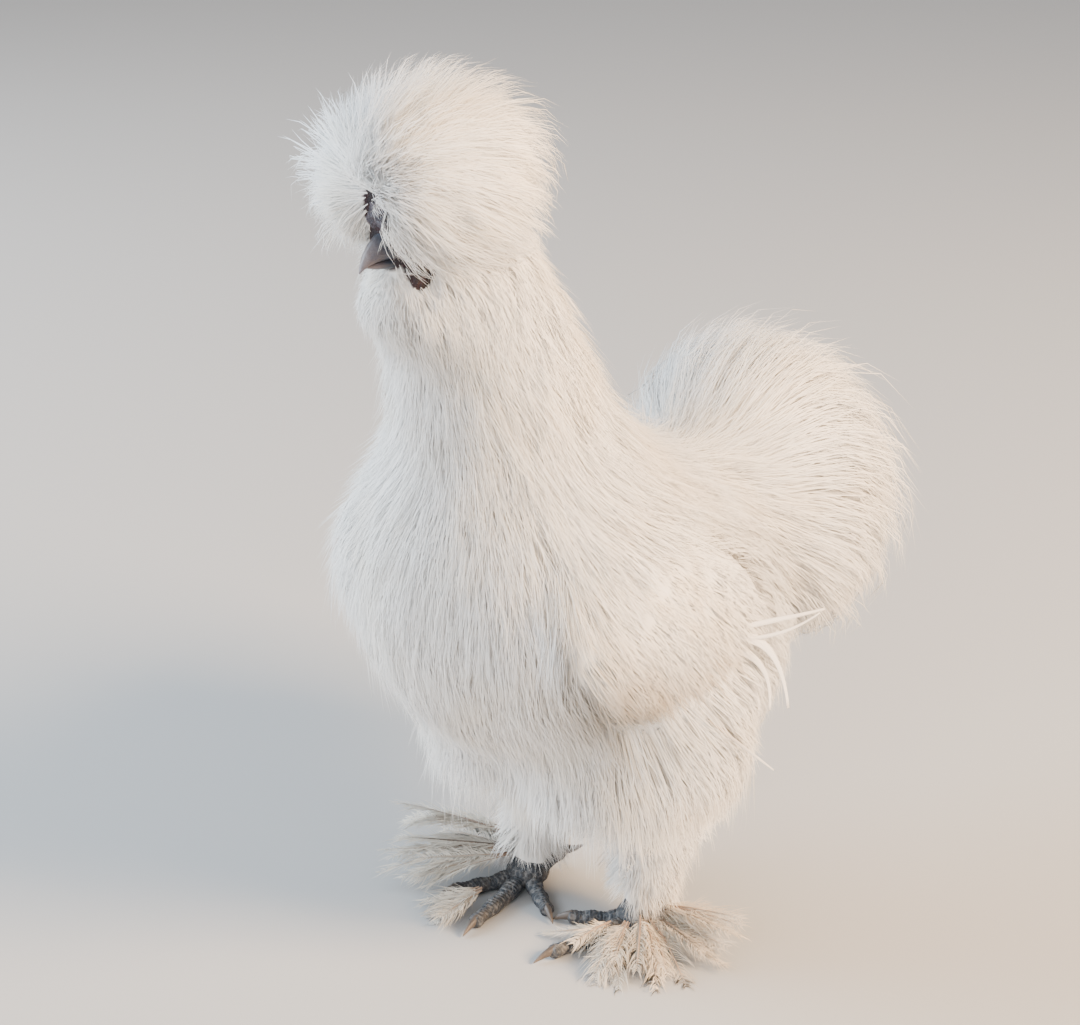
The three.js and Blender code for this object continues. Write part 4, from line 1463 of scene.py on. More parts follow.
@dataclass
class Vanes:
    """Loose feathers: a shaft with two rows of fine barbs, as on the feet.

    Fields:
        starts, ahead, facing: Each feather's root, direction and the way its flat side faces.
        bends: How far each one's tip is carried aside.
        lengths, widths: Each feather's sizes.
        barbs: The barbs in each of a feather's two rows.
        seed: The seed of its random numbers.
        shaft_width: A shaft's greatest width.
        shaft_softness, barb_softness: How much either is shaded as the feather's flat side.
    """

    starts: Points
    ahead: Points
    facing: Points
    bends: Points
    lengths: Points
    widths: Points
    barbs: int
    seed: int
    shaft_width: float = 1.1
    shaft_softness: float = 0.4
    barb_softness: float = 0.7

    def line(self, t: Points) -> tuple[Points, Points, Points]:
        """The shafts' lines, start + ahead * length * t + bend * t^2.

        Args:
            t: Shares of their length, one row for all or a row for each.

        Returns:
            Points on them, and their side and outward directions there.
        """
        t = np.broadcast_to(t, (len(self.starts), t.shape[-1]))[..., None]
        along, bend = self.ahead[:, None], self.bends[:, None]
        length = self.lengths[:, None, None]
        at = self.starts[:, None] + along * length * t + bend * t**2
        tangent = unit(along * length + 2 * bend * t)
        out = unit(self.facing[:, None] - dot(self.facing[:, None], tangent) * tangent)
        return at, np.cross(tangent, out), out

    def strands(self, region: Region) -> dict[str, Points]:
        """The shafts and barbs as closed strands.

        A barb leaves its shaft at share s, runs out by width * sin(pi * s^0.8)^0.5 / 2 while it turns
        forwards, and droops by its own amount. Matted barbs bunch in waves along the shaft. The "tips" of a
        shaft stay low, so that it has the root's colour.

        Args:
            region: The part of the body that they grow on.

        Returns:
            What strands() gives.
        """
        rng = np.random.default_rng(self.seed)
        feathers = len(self.starts)
        share = np.array(STRAND)
        shaft, side, out = self.line(share)
        place, thick = unwrap(self.starts, region), np.full(feathers, self.shaft_width)
        parts = [strands(share, shaft + 0.5 * out, side, out, thick, place, rng, self.shaft_softness)]
        parts[0]["tips"] = parts[0]["tips"] * 0.2
        s = np.linspace(0.1, 0.99, self.barbs)[None] + rng.uniform(-0.015, 0.015, (feathers, self.barbs))
        s = np.clip(s, 0.02, 1.0)
        at, side, out = self.line(s)
        ahead = unit(np.cross(out, side))
        reach = 0.5 * self.widths[:, None] * (0.25 + 0.75 * np.sin(math.pi * s**0.8) ** 0.5)
        t = share[None, None, :, None]
        for sign in (-1, 1):
            run = (reach * rng.uniform(0.55, 1.3, reach.shape))[..., None, None]
            matted = 0.55 * np.sin(2 * math.pi * (5.0 + sign) * s + rng.uniform(0, 6, (feathers, 1)))
            wander = (matted + rng.normal(0, 0.35, reach.shape))[..., None, None]
            droop = rng.normal(0, 0.3, (*reach.shape, 1, 1))
            path = (at[:, :, None] + sign * side[:, :, None] * run * (t - 0.25 * t**2)
                    + ahead[:, :, None] * run * (0.7 * t + (0.5 + wander) * t**2)
                    + out[:, :, None] * run * (0.25 * t - (0.35 + droop) * t**2)).reshape(-1, 4, 3)
            count = path.shape[0]
            flat = np.broadcast_to(out[:, :, None], (*at.shape[:2], 4, 3)).reshape(-1, 4, 3)
            across = np.cross(unit(np.gradient(path, axis=1)), flat)
            barbs = strands(share, path, across, flat, rng.uniform(0.3, 0.5, count),
                            np.repeat(place, self.barbs, 0), rng, self.barb_softness)
            barbs["tips"] = 0.3 + 0.7 * barbs["tips"]
            parts.append(barbs)
        return gathered(parts)


@dataclass(frozen=True)
class Quill:
    """A narrow flight feather.

    Fields:
        start, ahead: Its root and the way it sets out.
        length: Its length if it were straight.
        fall, hook: How far its tip is carried evenly, and at its end alone.
        half_width: Half its width.
    """

    start: tuple[float, float, float]
    ahead: tuple[float, float, float]
    length: float
    fall: tuple[float, float, float]
    hook: tuple[float, float, float]
    half_width: float


QUILLS: tuple[Quill, ...] = (
    Quill((73, 10, 150), (0.14, 0.95, -0.1), 34, (2, 3, -22), (-1, -6, -14), 2.3),
    Quill((73, 8, 146), (0.07, 0.9, -0.35), 38, (1, -2, -14), (-2, -8, -8), 1.9),
    Quill((72, 12, 152), (0.2, 0.95, 0.05), 36, (2, 4, -5), (1, 6, 2), 1.1),
    Quill((73, 14, 148), (0.3, 0.9, -0.15), 28, (3, 5, 2), (0, 6, 6), 0.8),
    Quill((72, 4, 141), (0.04, 0.85, -0.5), 40, (0, -1, -10), (-3, -6, -4), 1.9),
    Quill((71, -2, 136), (0.02, 0.82, -0.57), 38, (0, 0, -9), (-3, -5, -2), 1.8),
    Quill((70, -8, 130), (0.02, 0.8, -0.6), 34, (0, 0, -8), (-3, -4, 0), 1.7),
    Quill((76, -8, 121), (0.2, 0.7, -0.68), 46, (0, 0, 0), (0, 0, 0), 0.75),
)


@dataclass
class WingTip:
    """The narrow flight feathers that curl away from the tip of the folded wing, and one loose quill."""

    side: Side
    thickness: float = 0.5

    def blade(self, quill: Quill) -> tuple[Points, Points]:
        """One feather as a thin blade along start + ahead * length * t + fall * t^2 + hook * t^4.

        Half its width is half_width * (0.35 + 0.65 * sin(pi * t^0.7))^0.8, and its shaft is raised.

        Args:
            quill: The feather.

        Returns:
            Its points and its triangles.
        """
        mirror = self.side.mirror
        t = np.linspace(0, 1, 26)[:, None]
        start, fall, hook = (np.array(v) * mirror for v in (quill.start, quill.fall, quill.hook))
        path = start + unit(np.array(quill.ahead) * mirror) * quill.length * t + fall * t**2 + hook * t**4
        tangent = unit(np.gradient(path, axis=0))
        facing = np.array([1.0, 0.25, 0.35]) * mirror
        out = unit(facing - tangent * (tangent @ facing)[:, None])
        turn = circle(16)
        half = quill.half_width * (0.35 + 0.65 * np.sin(math.pi * np.minimum(t, 0.98) ** 0.7)) ** 0.8
        shaft = 1 + 1.2 * np.exp(-(np.cos(turn) / 0.25) ** 2)
        lift = np.sin(turn)[None] * self.thickness * shaft[None]
        cup = -0.12 * half * np.cos(turn)[None] ** 2
        return closed_tube(swept(path, np.cross(tangent, out), out, np.cos(turn)[None] * half,
                                 lift * half / quill.half_width + cup))

    def build(self, finish: PlumageFinish) -> bpy.types.Object:
        """Makes the flight feathers of one wing a piece, with a small patch of the OFBake map for each face.

        Args:
            finish: Their finish.

        Returns:
            The piece.
        """
        blades = [self.blade(quill) for quill in QUILLS]
        _, faces = joined([(p - p.mean(0), f) for p, f in blades])
        points = np.concatenate([p for p, _ in blades])
        place = unwrap(points, Region.WING)
        uv = place[faces].mean(1)[:, None] + PATCH / 3 * np.array([[-1, -1], [1, -1], [0, 1]])
        return make_piece(f"{self.side.word}_flight_feathers", points, faces,
                          (f"{self.side.word}_wing",), finish.material(), uv.reshape(-1, 2),
                          {"tip": np.ones(len(points))})


@dataclass(frozen=True)
class Spray:
    """A bunch of foot feathers.

    Fields:
        yaw: Where it points, in degrees from straight ahead towards the foot's outer side.
        spread: How far its feathers fan out either way.
        out: How far from the foot's middle it starts.
        height: How high it starts.
        length, rise, sag: A feather's length, its slope and how far its tip sinks.
        count, width: The number of feathers and the width of each.
    """

    yaw: float
    spread: float
    out: float
    height: float
    length: float
    rise: float
    sag: float
    count: int
    width: float


SPRAYS: dict[Side, tuple[Spray, ...]] = {
    Side.LEFT: (
        Spray(100, 9, 9, 14, 44, 0.2, 6, 5, 15),
        Spray(84, 9, 9, 10, 42, 0.08, 4, 6, 15),
        Spray(66, 8, 10, 12, 41, 0.05, 12, 4, 14),
        Spray(48, 8, 12, 12, 34, 0.0, 9, 3, 13),
        Spray(22, 12, 14, 10, 34, 0.05, 9, 6, 16),
        Spray(-8, 7, 17, 9, 20, 0.1, 6, 4, 10),
        Spray(118, 12, 9, 10, 24, 0.1, 6, 4, 12),
    ),
    Side.RIGHT: (
        Spray(58, 6, 10, 24, 54, 0.32, 16, 6, 15),
        Spray(48, 7, 10, 18, 57, 0.12, 13, 7, 16),
        Spray(34, 8, 10, 15, 46, 0.0, 9, 6, 16),
        Spray(75, 10, 9, 16, 40, 0.1, 8, 5, 15),
        Spray(98, 12, 9, 14, 30, 0.1, 8, 4, 13),
        Spray(8, 9, 27, 7, 25, 0.02, 5, 6, 15),
    ),
}


@dataclass
class FootFan:
    """The soiled feathers that grow in sprays from the outer side of the shank and over the outer toes.

    Fields:
        side: The bird's side.
        barbs: The barbs in each of a feather's two rows.
    """

    side: Side
    barbs: int = 46

    def feathers(self, spray: Spray, rng: np.random.Generator) -> tuple[Points, ...]:
        """The feathers of one spray, fanned out and bent a little by chance.

        Args:
            spray: The spray.
            rng: The source of chance.

        Returns:
            Their first six values for Vanes.
        """
        s, n = self.side.value, spray.count
        yaw = np.radians(spray.yaw + spray.spread * np.linspace(-1, 1, n) + rng.normal(0, 2, n)) * s
        flat = np.stack([np.sin(yaw), -np.cos(yaw), np.zeros(n)], -1)
        ahead = unit(flat + UP * rng.normal(spray.rise, 0.06, n)[:, None])
        aside = np.cross(flat, UP)
        middle = math.radians(spray.yaw) * s
        hub = np.array([s * STANCE + spray.out * math.sin(middle),
                        s * FOOT_STAGGER - spray.out * math.cos(middle), spray.height])
        bends = aside * rng.normal(0, 6, n)[:, None] - UP * (spray.sag * rng.uniform(0.3, 1.5, n))[:, None]
        lean = rng.normal(0, 0.35, n)[:, None]
        starts = hub + rng.normal(0, 1.2, (n, 3))
        lengths = spray.length * rng.uniform(0.78, 1.04, n)
        widths = spray.width * rng.uniform(0.8, 1.1, n)
        return starts, ahead, unit(UP + aside * lean), bends, lengths, widths

    def build(self, finish: PlumageFinish) -> bpy.types.Object:
        """Makes the sprays of one foot a piece.

        Args:
            finish: Their finish.

        Returns:
            The piece.
        """
        rng = np.random.default_rng(70 + self.side.value)
        rows = [self.feathers(spray, rng) for spray in SPRAYS[self.side]]
        parts = [np.concatenate(column) for column in zip(*rows)]
        made = Vanes(*parts, barbs=self.barbs, seed=80 + self.side.value).strands(Region.SHANK)
        return plumage_piece(f"{self.side.word}_foot_feathers", made, (), finish.material())


# Face


@dataclass
class Beak:
    """The short curved beak, as profiles carried forwards: ellipses that narrow along the culmen's curve.

    Fields:
        forward: How far in front of the beak's base each of the upper beak's stations lies.
        heights, widths, talls: The middle's height above the mouth there, and the profile's half sizes.
        low_forward, low_widths, low_talls: The same of the lower beak.
        low_height: The height of its middle.
        columns, low_columns: The points round either.
    """

    forward: tuple = (-3.0, 0.0, 3.2, 6.4, 10.0, 13.2, 15.4, 16.4)
    heights: tuple = (3.9, 3.7, 3.5, 3.1, 2.0, 0.3, -1.9, -3.5)
    widths: tuple = (7.6, 7.2, 6.6, 5.6, 4.2, 2.7, 1.3, 0.35)
    talls: tuple = (8.0, 7.7, 7.1, 6.2, 4.8, 3.2, 1.6, 0.4)
    columns: int = 48
    low_forward: tuple = (-3.0, 0.0, 5.5, 9.8, 12.4, 13.2)
    low_widths: tuple = (5.6, 5.2, 4.1, 2.6, 1.2, 0.3)
    low_talls: tuple = (2.9, 2.7, 2.2, 1.6, 0.9, 0.3)
    low_height: float = -1.6
    low_columns: int = 36

    def upper(self) -> tuple[Points, Points, Points]:
        """The upper beak with its nostrils as dents and its cutting edge turned down.

        Returns:
            Its points, its triangles and how near each point is to the tip.
        """
        s = np.linspace(self.forward[0], self.forward[-1], 56)
        middle, wide, tall = (
            np.interp(s, self.forward, row) for row in (self.heights, self.widths, self.talls))
        turn = circle(self.columns)
        lift = np.sin(turn)[None] * tall[:, None]
        lift = np.where(lift < 0, lift * 0.55, lift)
        ridge = 1.0 + 0.06 * np.exp(-((turn - math.pi / 2) / 0.28) ** 2)[None]
        path = np.stack([0 * s, -(BEAK_BASE + s), MOUTH_HEIGHT + middle], -1)
        rings = swept(path, SIDEWAYS, UP, np.cos(turn)[None] * wide[:, None], lift * ridge)
        for side in Side:
            nostril = np.array([side.value * 5.5, -BEAK_BASE - 5.4, MOUTH_HEIGHT + 6.4])
            near = np.linalg.norm((rings - nostril) / [1.6, 2.1, 1.0], axis=-1)
            rings = rings + (np.array([-side.value, 0, -0.5]) * 1.7 * np.exp(-near**2)[..., None])
        points, faces = closed_tube(rings)
        tips = np.concatenate([np.repeat((s - s[0]) / (s[-1] - s[0]), self.columns), [0.0, 1.0]])
        return points, facing_out(points, faces), tips

    def lower(self) -> tuple[Points, Points, Points]:
        """The lower beak, under the upper one's edge.

        Returns:
            Its points, its triangles and how near each point is to the tip.
        """
        s = np.linspace(self.low_forward[0], self.low_forward[-1], 40)
        wide, tall = (
            np.interp(s, self.low_forward, row)[:, None] for row in (self.low_widths, self.low_talls))
        turn = circle(self.low_columns)
        path = np.stack([0 * s, -(BEAK_BASE + s), MOUTH_HEIGHT + self.low_height + 0 * s], -1)
        rings = swept(path, SIDEWAYS, UP, np.cos(turn)[None] * wide, np.sin(turn)[None] * tall)
        points, faces = closed_tube(rings)
        tips = np.concatenate([np.repeat((s - s[0]) / (s[-1] - s[0]), self.low_columns), [0.0, 1.0]])
        return points, facing_out(points, faces), tips

    def build(self) -> None:
        """Both halves of the beak."""
        material = HornFinish("beak", base=colour(0.022, 0.029, 0.045), tip=colour(0.16, 0.12, 0.115),
                              streak=colour(0.055, 0.07, 0.1)).material()
        for name, (points, faces, tips) in (("upper_beak", self.upper()), ("lower_beak", self.lower())):
            make_piece(f"{name}_horn", points, faces, (name,), material, values={"tip": tips})


@dataclass
class Face:
    """Eyes, lids, comb, wattles and earlobes.

    Fields:
        lid_thickness: The lids' thickness.
        wart_depth: How high the comb's warts stand out.
    """

    lid_thickness: float = 1.5
    wart_depth: float = 0.315

    def eyes(self) -> None:
        """Round eyes with their lids as soft rings."""
        eye_finish = EyeFinish().material()
        lid_finish = BareFinish("lids", colour(0.05, 0.03, 0.038), colour(0.1, 0.05, 0.06),
                                grain=2200.0, depth=0.0003).material()
        for side in Side:
            centre = EYE * side.mirror
            points, faces = star_surface(ellipsoid(tuple(centre), (EYE_RADIUS,) * 3), centre, 40, 48, reach=8)
            edge = np.linalg.norm((points - centre)[:, 1:], axis=1) / EYE_RADIUS
            edge = np.where((points[:, 0] - centre[0]) * side.value > 0, edge, 1.0)
            make_piece(f"{side.word}_eyeball", points, facing_out(points, faces),
                       (f"{side.word}_eye",), eye_finish, values={"edge": edge})
            u, v = np.meshgrid(circle(64), circle(20), indexing="ij")
            ring = EYE_RADIUS * (0.9 - 0.1 * np.abs(np.sin(u)) ** 3)
            thick = self.lid_thickness * (1 + 0.22 * np.sin(u)) * (1 + 0.08 * np.sin(9 * u) * np.sin(v))
            points = np.stack([
                centre[0] + side.value * (1.9 + thick * np.sin(v)),
                centre[1] + (ring + thick * np.cos(v)) * np.cos(u) * 1.08,
                centre[2] + (ring + thick * np.cos(v)) * np.sin(u),
            ], -1).reshape(-1, 3)
            faces = facing_out(points - centre, grid_faces(*u.shape, ring=True))
            make_piece(f"{side.word}_lids", points, faces, (), lid_finish)

    def comb(self) -> None:
        """The walnut comb: bulbs grown together, with warts as a ripple on their surface."""
        def place(x: float, forward: float, up: float) -> tuple:
            """A bulb's middle from the skull's."""
            return (x, -HEAD_FORWARD - forward, HEAD_HEIGHT + up)

        bulbs = blend(
            2.2,
            ellipsoid(place(0, 17, 9), (6.3, 5.8, 6.3)),
            *two(lambda s: ellipsoid(place(3.4 * s, 20.5, 7), (3, 3, 3.4))),
            *two(lambda s: ellipsoid(place(2.6 * s, 20, 12.5), (3, 3, 3))),
            ellipsoid(place(0.4, 21.5, 10), (2.2, 2.2, 2.6)),
        )
        centre = np.array(place(0, 17, 9))
        warty = uneven(bulbs, self.wart_depth, 3.1, 1.0)
        points, faces = star_surface(warty, centre, 56, 72, reach=14)
        finish = BareFinish("comb", colour(0.03, 0.026, 0.036), colour(0.08, 0.068, 0.085),
                            grain=900.0, depth=0.0006, roughness=0.45)
        make_piece("comb_bulbs", points, facing_out(points, faces), ("comb",), finish.material())

    def wattles(self) -> None:
        """The wattles, two soft folds each, and the small turquoise earlobes."""
        wattle = BareFinish("wattle", colour(0.012, 0.003, 0.005), colour(0.032, 0.007, 0.01),
                            grain=1300.0, depth=0.0004, roughness=0.42).material()
        earlobe = BareFinish("earlobe", colour(0.09, 0.24, 0.28), colour(0.2, 0.4, 0.42),
                             grain=1300.0, depth=0.0004, roughness=0.5).material()
        for side in Side:
            s = side.value
            folds = blend(
                2.0,
                ellipsoid((10.0 * s, -HEAD_FORWARD - 11, HEAD_HEIGHT - 11), (3, 4.8, 4.6), -20),
                ellipsoid((10.6 * s, -HEAD_FORWARD - 11.5, HEAD_HEIGHT - 15.5), (3.2, 4.2, 3.6), -20),
            )
            creased = uneven(folds, 0.3, 5.0, 0.4, (1, 2.2, 1))
            ear = (14.5 * s, -HEAD_FORWARD + 2, HEAD_HEIGHT - 8)
            dimpled = uneven(ellipsoid(ear, (2.4, 4, 5)), 0.2, 3.5, 0.9)
            for name, form, centre, material in (
                ("wattle", creased, (10.2 * s, -HEAD_FORWARD - 11, HEAD_HEIGHT - 12.5), wattle),
                ("earlobe", dimpled, ear, earlobe),
            ):
                points, faces = star_surface(form, np.array(centre), 40, 48, reach=12)
                make_piece(f"{side.word}_{name}_skin", points, facing_out(points, faces),
                           (f"{side.word}_{name}",), material)


# Feet


TOES: dict[Side, dict[str, float]] = {
    Side.LEFT: {"middle": -12, "inner": -54, "outer": 28, "back": 172, "fifth": -128},
    Side.RIGHT: {"middle": 14, "inner": 62, "outer": -27, "back": 188, "fifth": 128},
}


@dataclass(frozen=True)
class Toe:
    """One toe's sizes.

    Fields:
        length: From the foot's middle to its end.
        rise: How high its tip lies above the floor.
        scutes: The number of its scutes.
        claw: The claw's length.
    """

    length: float
    rise: float
    scutes: int
    claw: float


TOE_SIZES: dict[str, Toe] = {
    "middle": Toe(45, 0, 21, 11),
    "inner": Toe(30, 0, 14, 9),
    "outer": Toe(35, 0, 16, 9),
    "back": Toe(17, 3, 8, 8),
    "fifth": Toe(17, 15, 8, 9),
}


@dataclass
class Foot:
    """A five-toed foot with overlapping scutes along its toes, and its claws.

    Fields:
        side: The bird's side.
        toe_radius: A toe's mean radius at its base.
        scute_step: How high a scute laps over the next.
        hub: The foot's middle on the floor.
    """

    side: Side
    toe_radius: float = 4.0
    scute_step: float = 0.42
    hub: Points = field(init=False)

    def __post_init__(self) -> None:
        """The foot's middle on the floor."""
        self.hub = np.array([self.side.value * STANCE, self.side.value * FOOT_STAGGER, 0.0])

    def direction(self, toe: str) -> Points:
        """The way a toe points."""
        angle = math.radians(TOES[self.side][toe])
        return np.array([math.sin(angle), -math.cos(angle), 0.0])

    def toe(self, name: str) -> tuple[Points, Points, Points]:
        """A toe's surface, flat below, with its share of pale scute edge.

        The radius falls from base to tip. Two or three knuckles swell it, and on the upper half a sawtooth
        in the scutes' number steps it up, each scute lapping over the next.

        Args:
            name: Which toe.

        Returns:
            Its points, its triangles and the points' shares of pale edge.
        """
        size, ahead = TOE_SIZES[name], self.direction(name)
        t = np.linspace(0, 1.04, 12 * size.scutes)
        across = np.array([-ahead[1], ahead[0], 0.0])
        middle = self.hub + ahead * (t * size.length)[:, None]
        middle[:, 2] = np.interp(t, (0, 0.5, 1.1), (6.2, 3.3, 3.1)) + size.rise * np.minimum(t, 1.0)
        knuckles = 0.35 * np.cos(t * math.pi * 2 * (3 if size.length > 25 else 2))
        close = np.sqrt(np.clip((1.04 - t) / 0.06, 0, 1))
        radius = (np.interp(t, (0, 1), (self.toe_radius + 0.3, self.toe_radius - 1.1)) + knuckles) * close
        turn = circle(32)
        wave = 0.16 * np.sin(turn * 3)[None] + 0.2 * np.sin(t * 37)[:, None]
        saw = ((t * size.scutes)[:, None] + wave) % 1.0
        top = smoothstep(0.1, 0.55, np.sin(turn))
        step = self.scute_step * saw**1.5 * top[None] * close[:, None]
        lobes = 0.22 * np.abs(np.sin(turn * 6))[None] * (1 - top)[None] * close[:, None]
        reach = radius[:, None] + step + lobes
        rings = swept(middle, across, UP, np.cos(turn)[None] * reach * 0.95,
                      np.sin(turn)[None] * reach * 0.92)
        rings[..., 2] = np.maximum(rings[..., 2], 0.0)
        points, faces = closed_tube(rings)
        edge = smoothstep(0.78, 1.0, saw) * (0.1 + 0.9 * top)[None]
        return points, faces, np.concatenate([edge.ravel(), [0.0, 0.0]])

    def instep(self) -> tuple[Points, Points, Points]:
        """The palm and the lower end of the shank, grown together.

        Returns:
            Their points, their triangles and the points' shares of pale edge, which are 0.
        """
        x, y, _ = self.hub
        palm = ellipsoid((x, y, 7.0), (9.5, 10, 7.0))
        shank = chain((x, y + 1, 10, 6), (x, y + 3, 26, 5.2))
        bumpy = uneven(blend(4.0, palm, shank), 0.18, 3.0, 2.0)
        points, faces = star_surface(bumpy, np.array([x, y, 9.0]), 60, 64, reach=40)
        points[:, 2] = np.maximum(points[:, 2], 0.0)
        return points, faces, np.zeros(len(points))

    def claw(self, name: str) -> tuple[Points, Points, Points]:
        """A claw that leaves the toe's end along base - drop * t^2, tapering as (1 - t)^0.7.

        Args:
            name: Which toe's.

        Returns:
            Its points, its triangles and how near each point is to the tip.
        """
        size, ahead = TOE_SIZES[name], self.direction(name)
        t = np.linspace(0, 1, 26)
        base = 3.9 + size.rise
        drop = -3.0 if name == "fifth" else base - 1.0
        middle = self.hub + ahead * (size.length * 0.96 + t * size.claw)[:, None]
        middle[:, 2] = base - drop * t**2
        radius = 2.35 * (1 - t) ** 0.7 + 0.12
        turn = circle(24)
        across = np.array([-ahead[1], ahead[0], 0.0])
        rings = swept(middle, across, UP, np.cos(turn)[None] * radius[:, None] * 0.8,
                      np.sin(turn)[None] * radius[:, None])
        rings[..., 2] = np.maximum(rings[..., 2], 0.2)
        points, faces = closed_tube(rings)
        tips = np.concatenate([np.repeat(t, len(turn)), [0.0, 1.0]])
        return points, facing_out(points - middle[0], faces), tips

    def build(self, skin: bpy.types.Material, horn: bpy.types.Material) -> None:
        """The foot's skin as one piece and each claw as its own.

        Args:
            skin: The foot's material.
            horn: The claws' material.
        """
        parts = [self.instep()] + [self.toe(name) for name in TOE_SIZES]
        points, faces = joined([(p - self.hub, f) for p, f, _ in parts])
        edge = np.concatenate([values for _, _, values in parts])
        word = self.side.word
        make_piece(f"{word}_foot_skin", points + self.hub, faces, (f"{word}_foot",), skin,
                   values={"edge": edge})
        for name in TOE_SIZES:
            points, faces, tips = self.claw(name)
            make_piece(f"{word}_{name}_claw_horn", points, faces, (f"{word}_{name}_claw",), horn,
                       values={"tip": tips})


# Studio


@dataclass
class Studio:
    """A pale floor, soft lights and the camera.

    Fields:
        turn, dip: The camera's angle from the bird's front, and how far it looks down, in degrees.
        distance: From the camera to the point on its axis beside the feet.
        aside, below: How far from the axis the feet lie there.
        focal, image_width: The focal length and the picture's width, in the picture's points.
        sensor: The sensor's width.
        near: The least distance that is seen, in metres.
        floor: Half the floor's side, in metres.
        aim: The height at which the lights point, in metres.
    """

    turn: float = 45.0
    dip: float = 21.0
    distance: float = 1019.0
    aside: float = 18.6
    below: float = 174.2
    focal: float = 2300.0
    image_width: int = 1080
    sensor: float = 36.0
    near: float = 0.05
    floor: float = 6.0
    aim: float = 0.2

    def camera(self) -> None:
        """A camera that stands `distance` before the feet, which lie `aside` and `below` its axis."""
        turn, dip = math.radians(self.turn), math.radians(self.dip)
        right = np.array([math.cos(turn), math.sin(turn), 0.0])
        ahead = np.array([-math.sin(turn) * math.cos(dip), math.cos(turn) * math.cos(dip), -math.sin(dip)])
        up = np.cross(right, ahead)
        place = -(self.aside * right - self.below * up + self.distance * ahead)
        data = bpy.data.cameras.new("camera")
        data.sensor_width = self.sensor
        data.lens = self.sensor * self.focal / self.image_width
        data.clip_start = self.near
        camera = bpy.data.objects.new("camera", data)
        turned = Matrix([right, up, -ahead]).transposed().to_4x4()
        turned.translation = (place + PLACE) * MM
        camera.matrix_world = turned
        bpy.context.scene.collection.objects.link(camera)
        bpy.context.scene.camera = camera

    def light(self, name: str, place: tuple, size: float, power: float, tint: tuple) -> None:
        """A square area light that shines on the body's middle.

        Args:
            name: Its name.
            place: Where it stands, in metres.
            size: Its side, in metres.
            power: Its power in watts.
            tint: Its colour.
        """
        data = bpy.data.lights.new(name, "AREA")
        data.size, data.energy, data.color = size, power, tint
        lamp = bpy.data.objects.new(name, data)
        away = unit(np.array(place) - UP * self.aim)
        side = unit(np.cross(UP, away))
        turned = Matrix([side, np.cross(away, side), away]).transposed().to_4x4()
        turned.translation = place
        lamp.matrix_world = turned
        bpy.context.scene.collection.objects.link(lamp)

    def build(self) -> None:
        """The floor, the lights and the camera."""
        corners = self.floor * np.array([[-1, -1, 0], [1, -1, 0], [1, 1, 0], [-1, 1, 0]])
        mesh = bpy.data.meshes.new("floor")
        mesh.from_pydata(corners.tolist(), [], [(0, 1, 2, 3)])
        mesh.materials.append(FloorFinish().material())
        floor = bpy.data.objects.new("floor", mesh)
        bpy.context.scene.collection.objects.link(floor)
        self.light("key", (1.8, 0.7, 1.2), 0.8, 190.0, (1.0, 0.68, 0.4))
        self.light("fill", (-1.7, -1.1, 1.0), 1.8, 105.0, (0.74, 0.87, 1.0))
        self.light("front", (0.6, -1.9, 0.9), 1.6, 28.0, (0.93, 0.96, 1.0))
        world = bpy.data.worlds.new("studio")
        world.use_nodes = True
        background = world.node_tree.nodes["Background"]
        background.inputs["Color"].default_value = (0.9, 0.94, 1.0, 1.0)
        background.inputs["Strength"].default_value = 0.66
        bpy.context.scene.world = world
        self.camera()


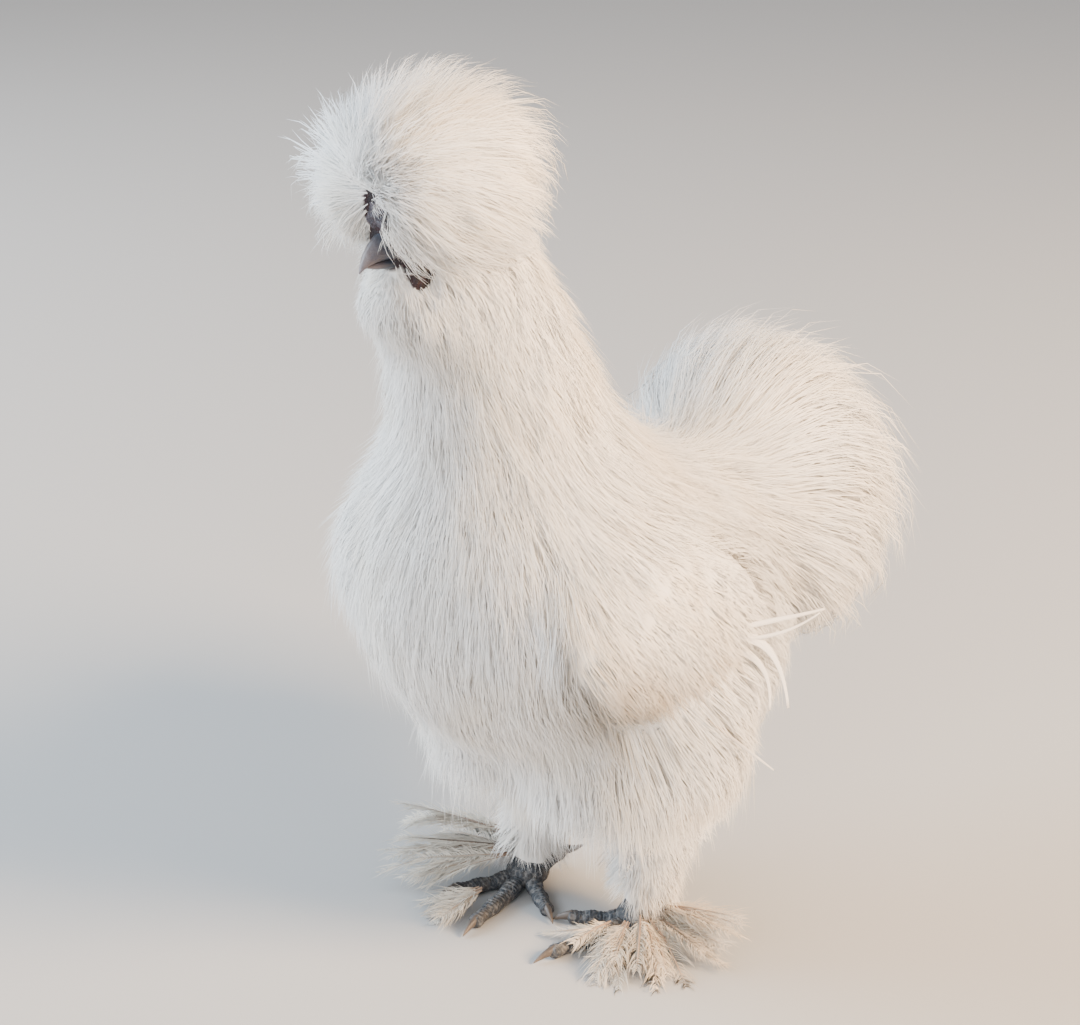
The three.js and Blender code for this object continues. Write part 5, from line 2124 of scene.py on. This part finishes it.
def coats() -> list[Coat]:
    """Every coat piece, from the crest down.

    Returns:
        The coats, ready to grow.
    """
    face = PlumageFinish("face_plumage", cream=colour(0.92, 0.87, 0.78), worn=False)
    leg = PlumageFinish("leg_plumage", soiled=0.35, creamy=0.2, worn=False)
    crown = PlumageFinish("crest_plumage", creamy=0.0, worn=False)
    wing = PlumageFinish("wing_plumage", cream=colour(0.9, 0.82, 0.69), creamy=0.8)
    thigh = PlumageFinish("thigh_plumage", worn=False)
    made = [Coat("face_coat", (Region.FACE, Region.BEARD), 1300, 7, 12, ("beard",), share=SHORT_STRAND,
                 steps=4, softness=0.92, finish=face)]
    for side in Side:
        s, word = side.value, side.word
        made += [
            Coat(f"{word}_crest_coat", (Region.CREST,), 1500, 8, 10 + s, ("crest",), s, surface=CREST,
                 share=SHORT_STRAND, wild=(0.14, 0.6), steps=4, softness=0.93, finish=crown),
            Coat(f"{word}_crest_wisps", (Region.CREST,), 230, 5, 15 + s, ("crest",), s, surface=CREST,
                 wild=(1.0, 1.05), steps=4, softness=0.93, finish=crown),
            Coat(f"{word}_neck_coat", (Region.NECK,), 1750, 6, 20 + s, ("neck",), s, share=SHORT_STRAND),
            Coat(f"{word}_body_coat", (Region.TORSO,), 2450, 6, 30 + s, ("torso",), s, surface=HUNG,
                 share=SHORT_STRAND, hem=0.35),
            Coat(f"{word}_tail_coat", (Region.TAIL,), 1250, 6, 50 + s, ("tail",), s),
            Coat(f"{word}_wing_coat", (Region.WING,), 1000, 6, 60 + s, (f"{word}_wing",), s,
                 surface=wing_form(s), share=SHORT_STRAND, finish=wing),
            Coat(f"{word}_thigh_coat", (Region.THIGH,), 1300, 6, 70 + s, (f"{word}_thigh",), s,
                 surface=HUNG, share=SHORT_STRAND, hem=0.8, finish=thigh),
            Coat(f"{word}_shank_coat", (Region.SHANK,), 620, 7, 90 + s, (f"{word}_shank",), s,
                 share=SHORT_STRAND, steps=4, softness=0.92, slot="foot_plumage", finish=leg),
        ]
    return made


def main() -> None:
    """Builds the bird and the studio."""
    Studio().build()
    skin = Skin()
    skin.build()
    skin.dress()
    for coat in coats():
        coat.grow(skin)
    foot_skin = FootFinish().material()
    horn = HornFinish("claw", base=colour(0.1, 0.08, 0.066), tip=colour(0.17, 0.125, 0.09),
                      streak=colour(0.05, 0.04, 0.034)).material()
    for side in Side:
        WingTip(side).build(PlumageFinish("flight_plumage"))
        FootFan(side).build(PlumageFinish(
            "foot_feathers", white=colour(0.88, 0.83, 0.73), cream=colour(0.78, 0.66, 0.5),
            root=colour(0.26, 0.15, 0.1), soiled=0.6, worn=False))
        Foot(side).build(foot_skin, horn)
    Beak().build()
    face = Face()
    face.eyes()
    face.comb()
    face.wattles()


if __name__ == "__main__":
    logging.basicConfig(level=logging.INFO, format="%(message)s")
    main()
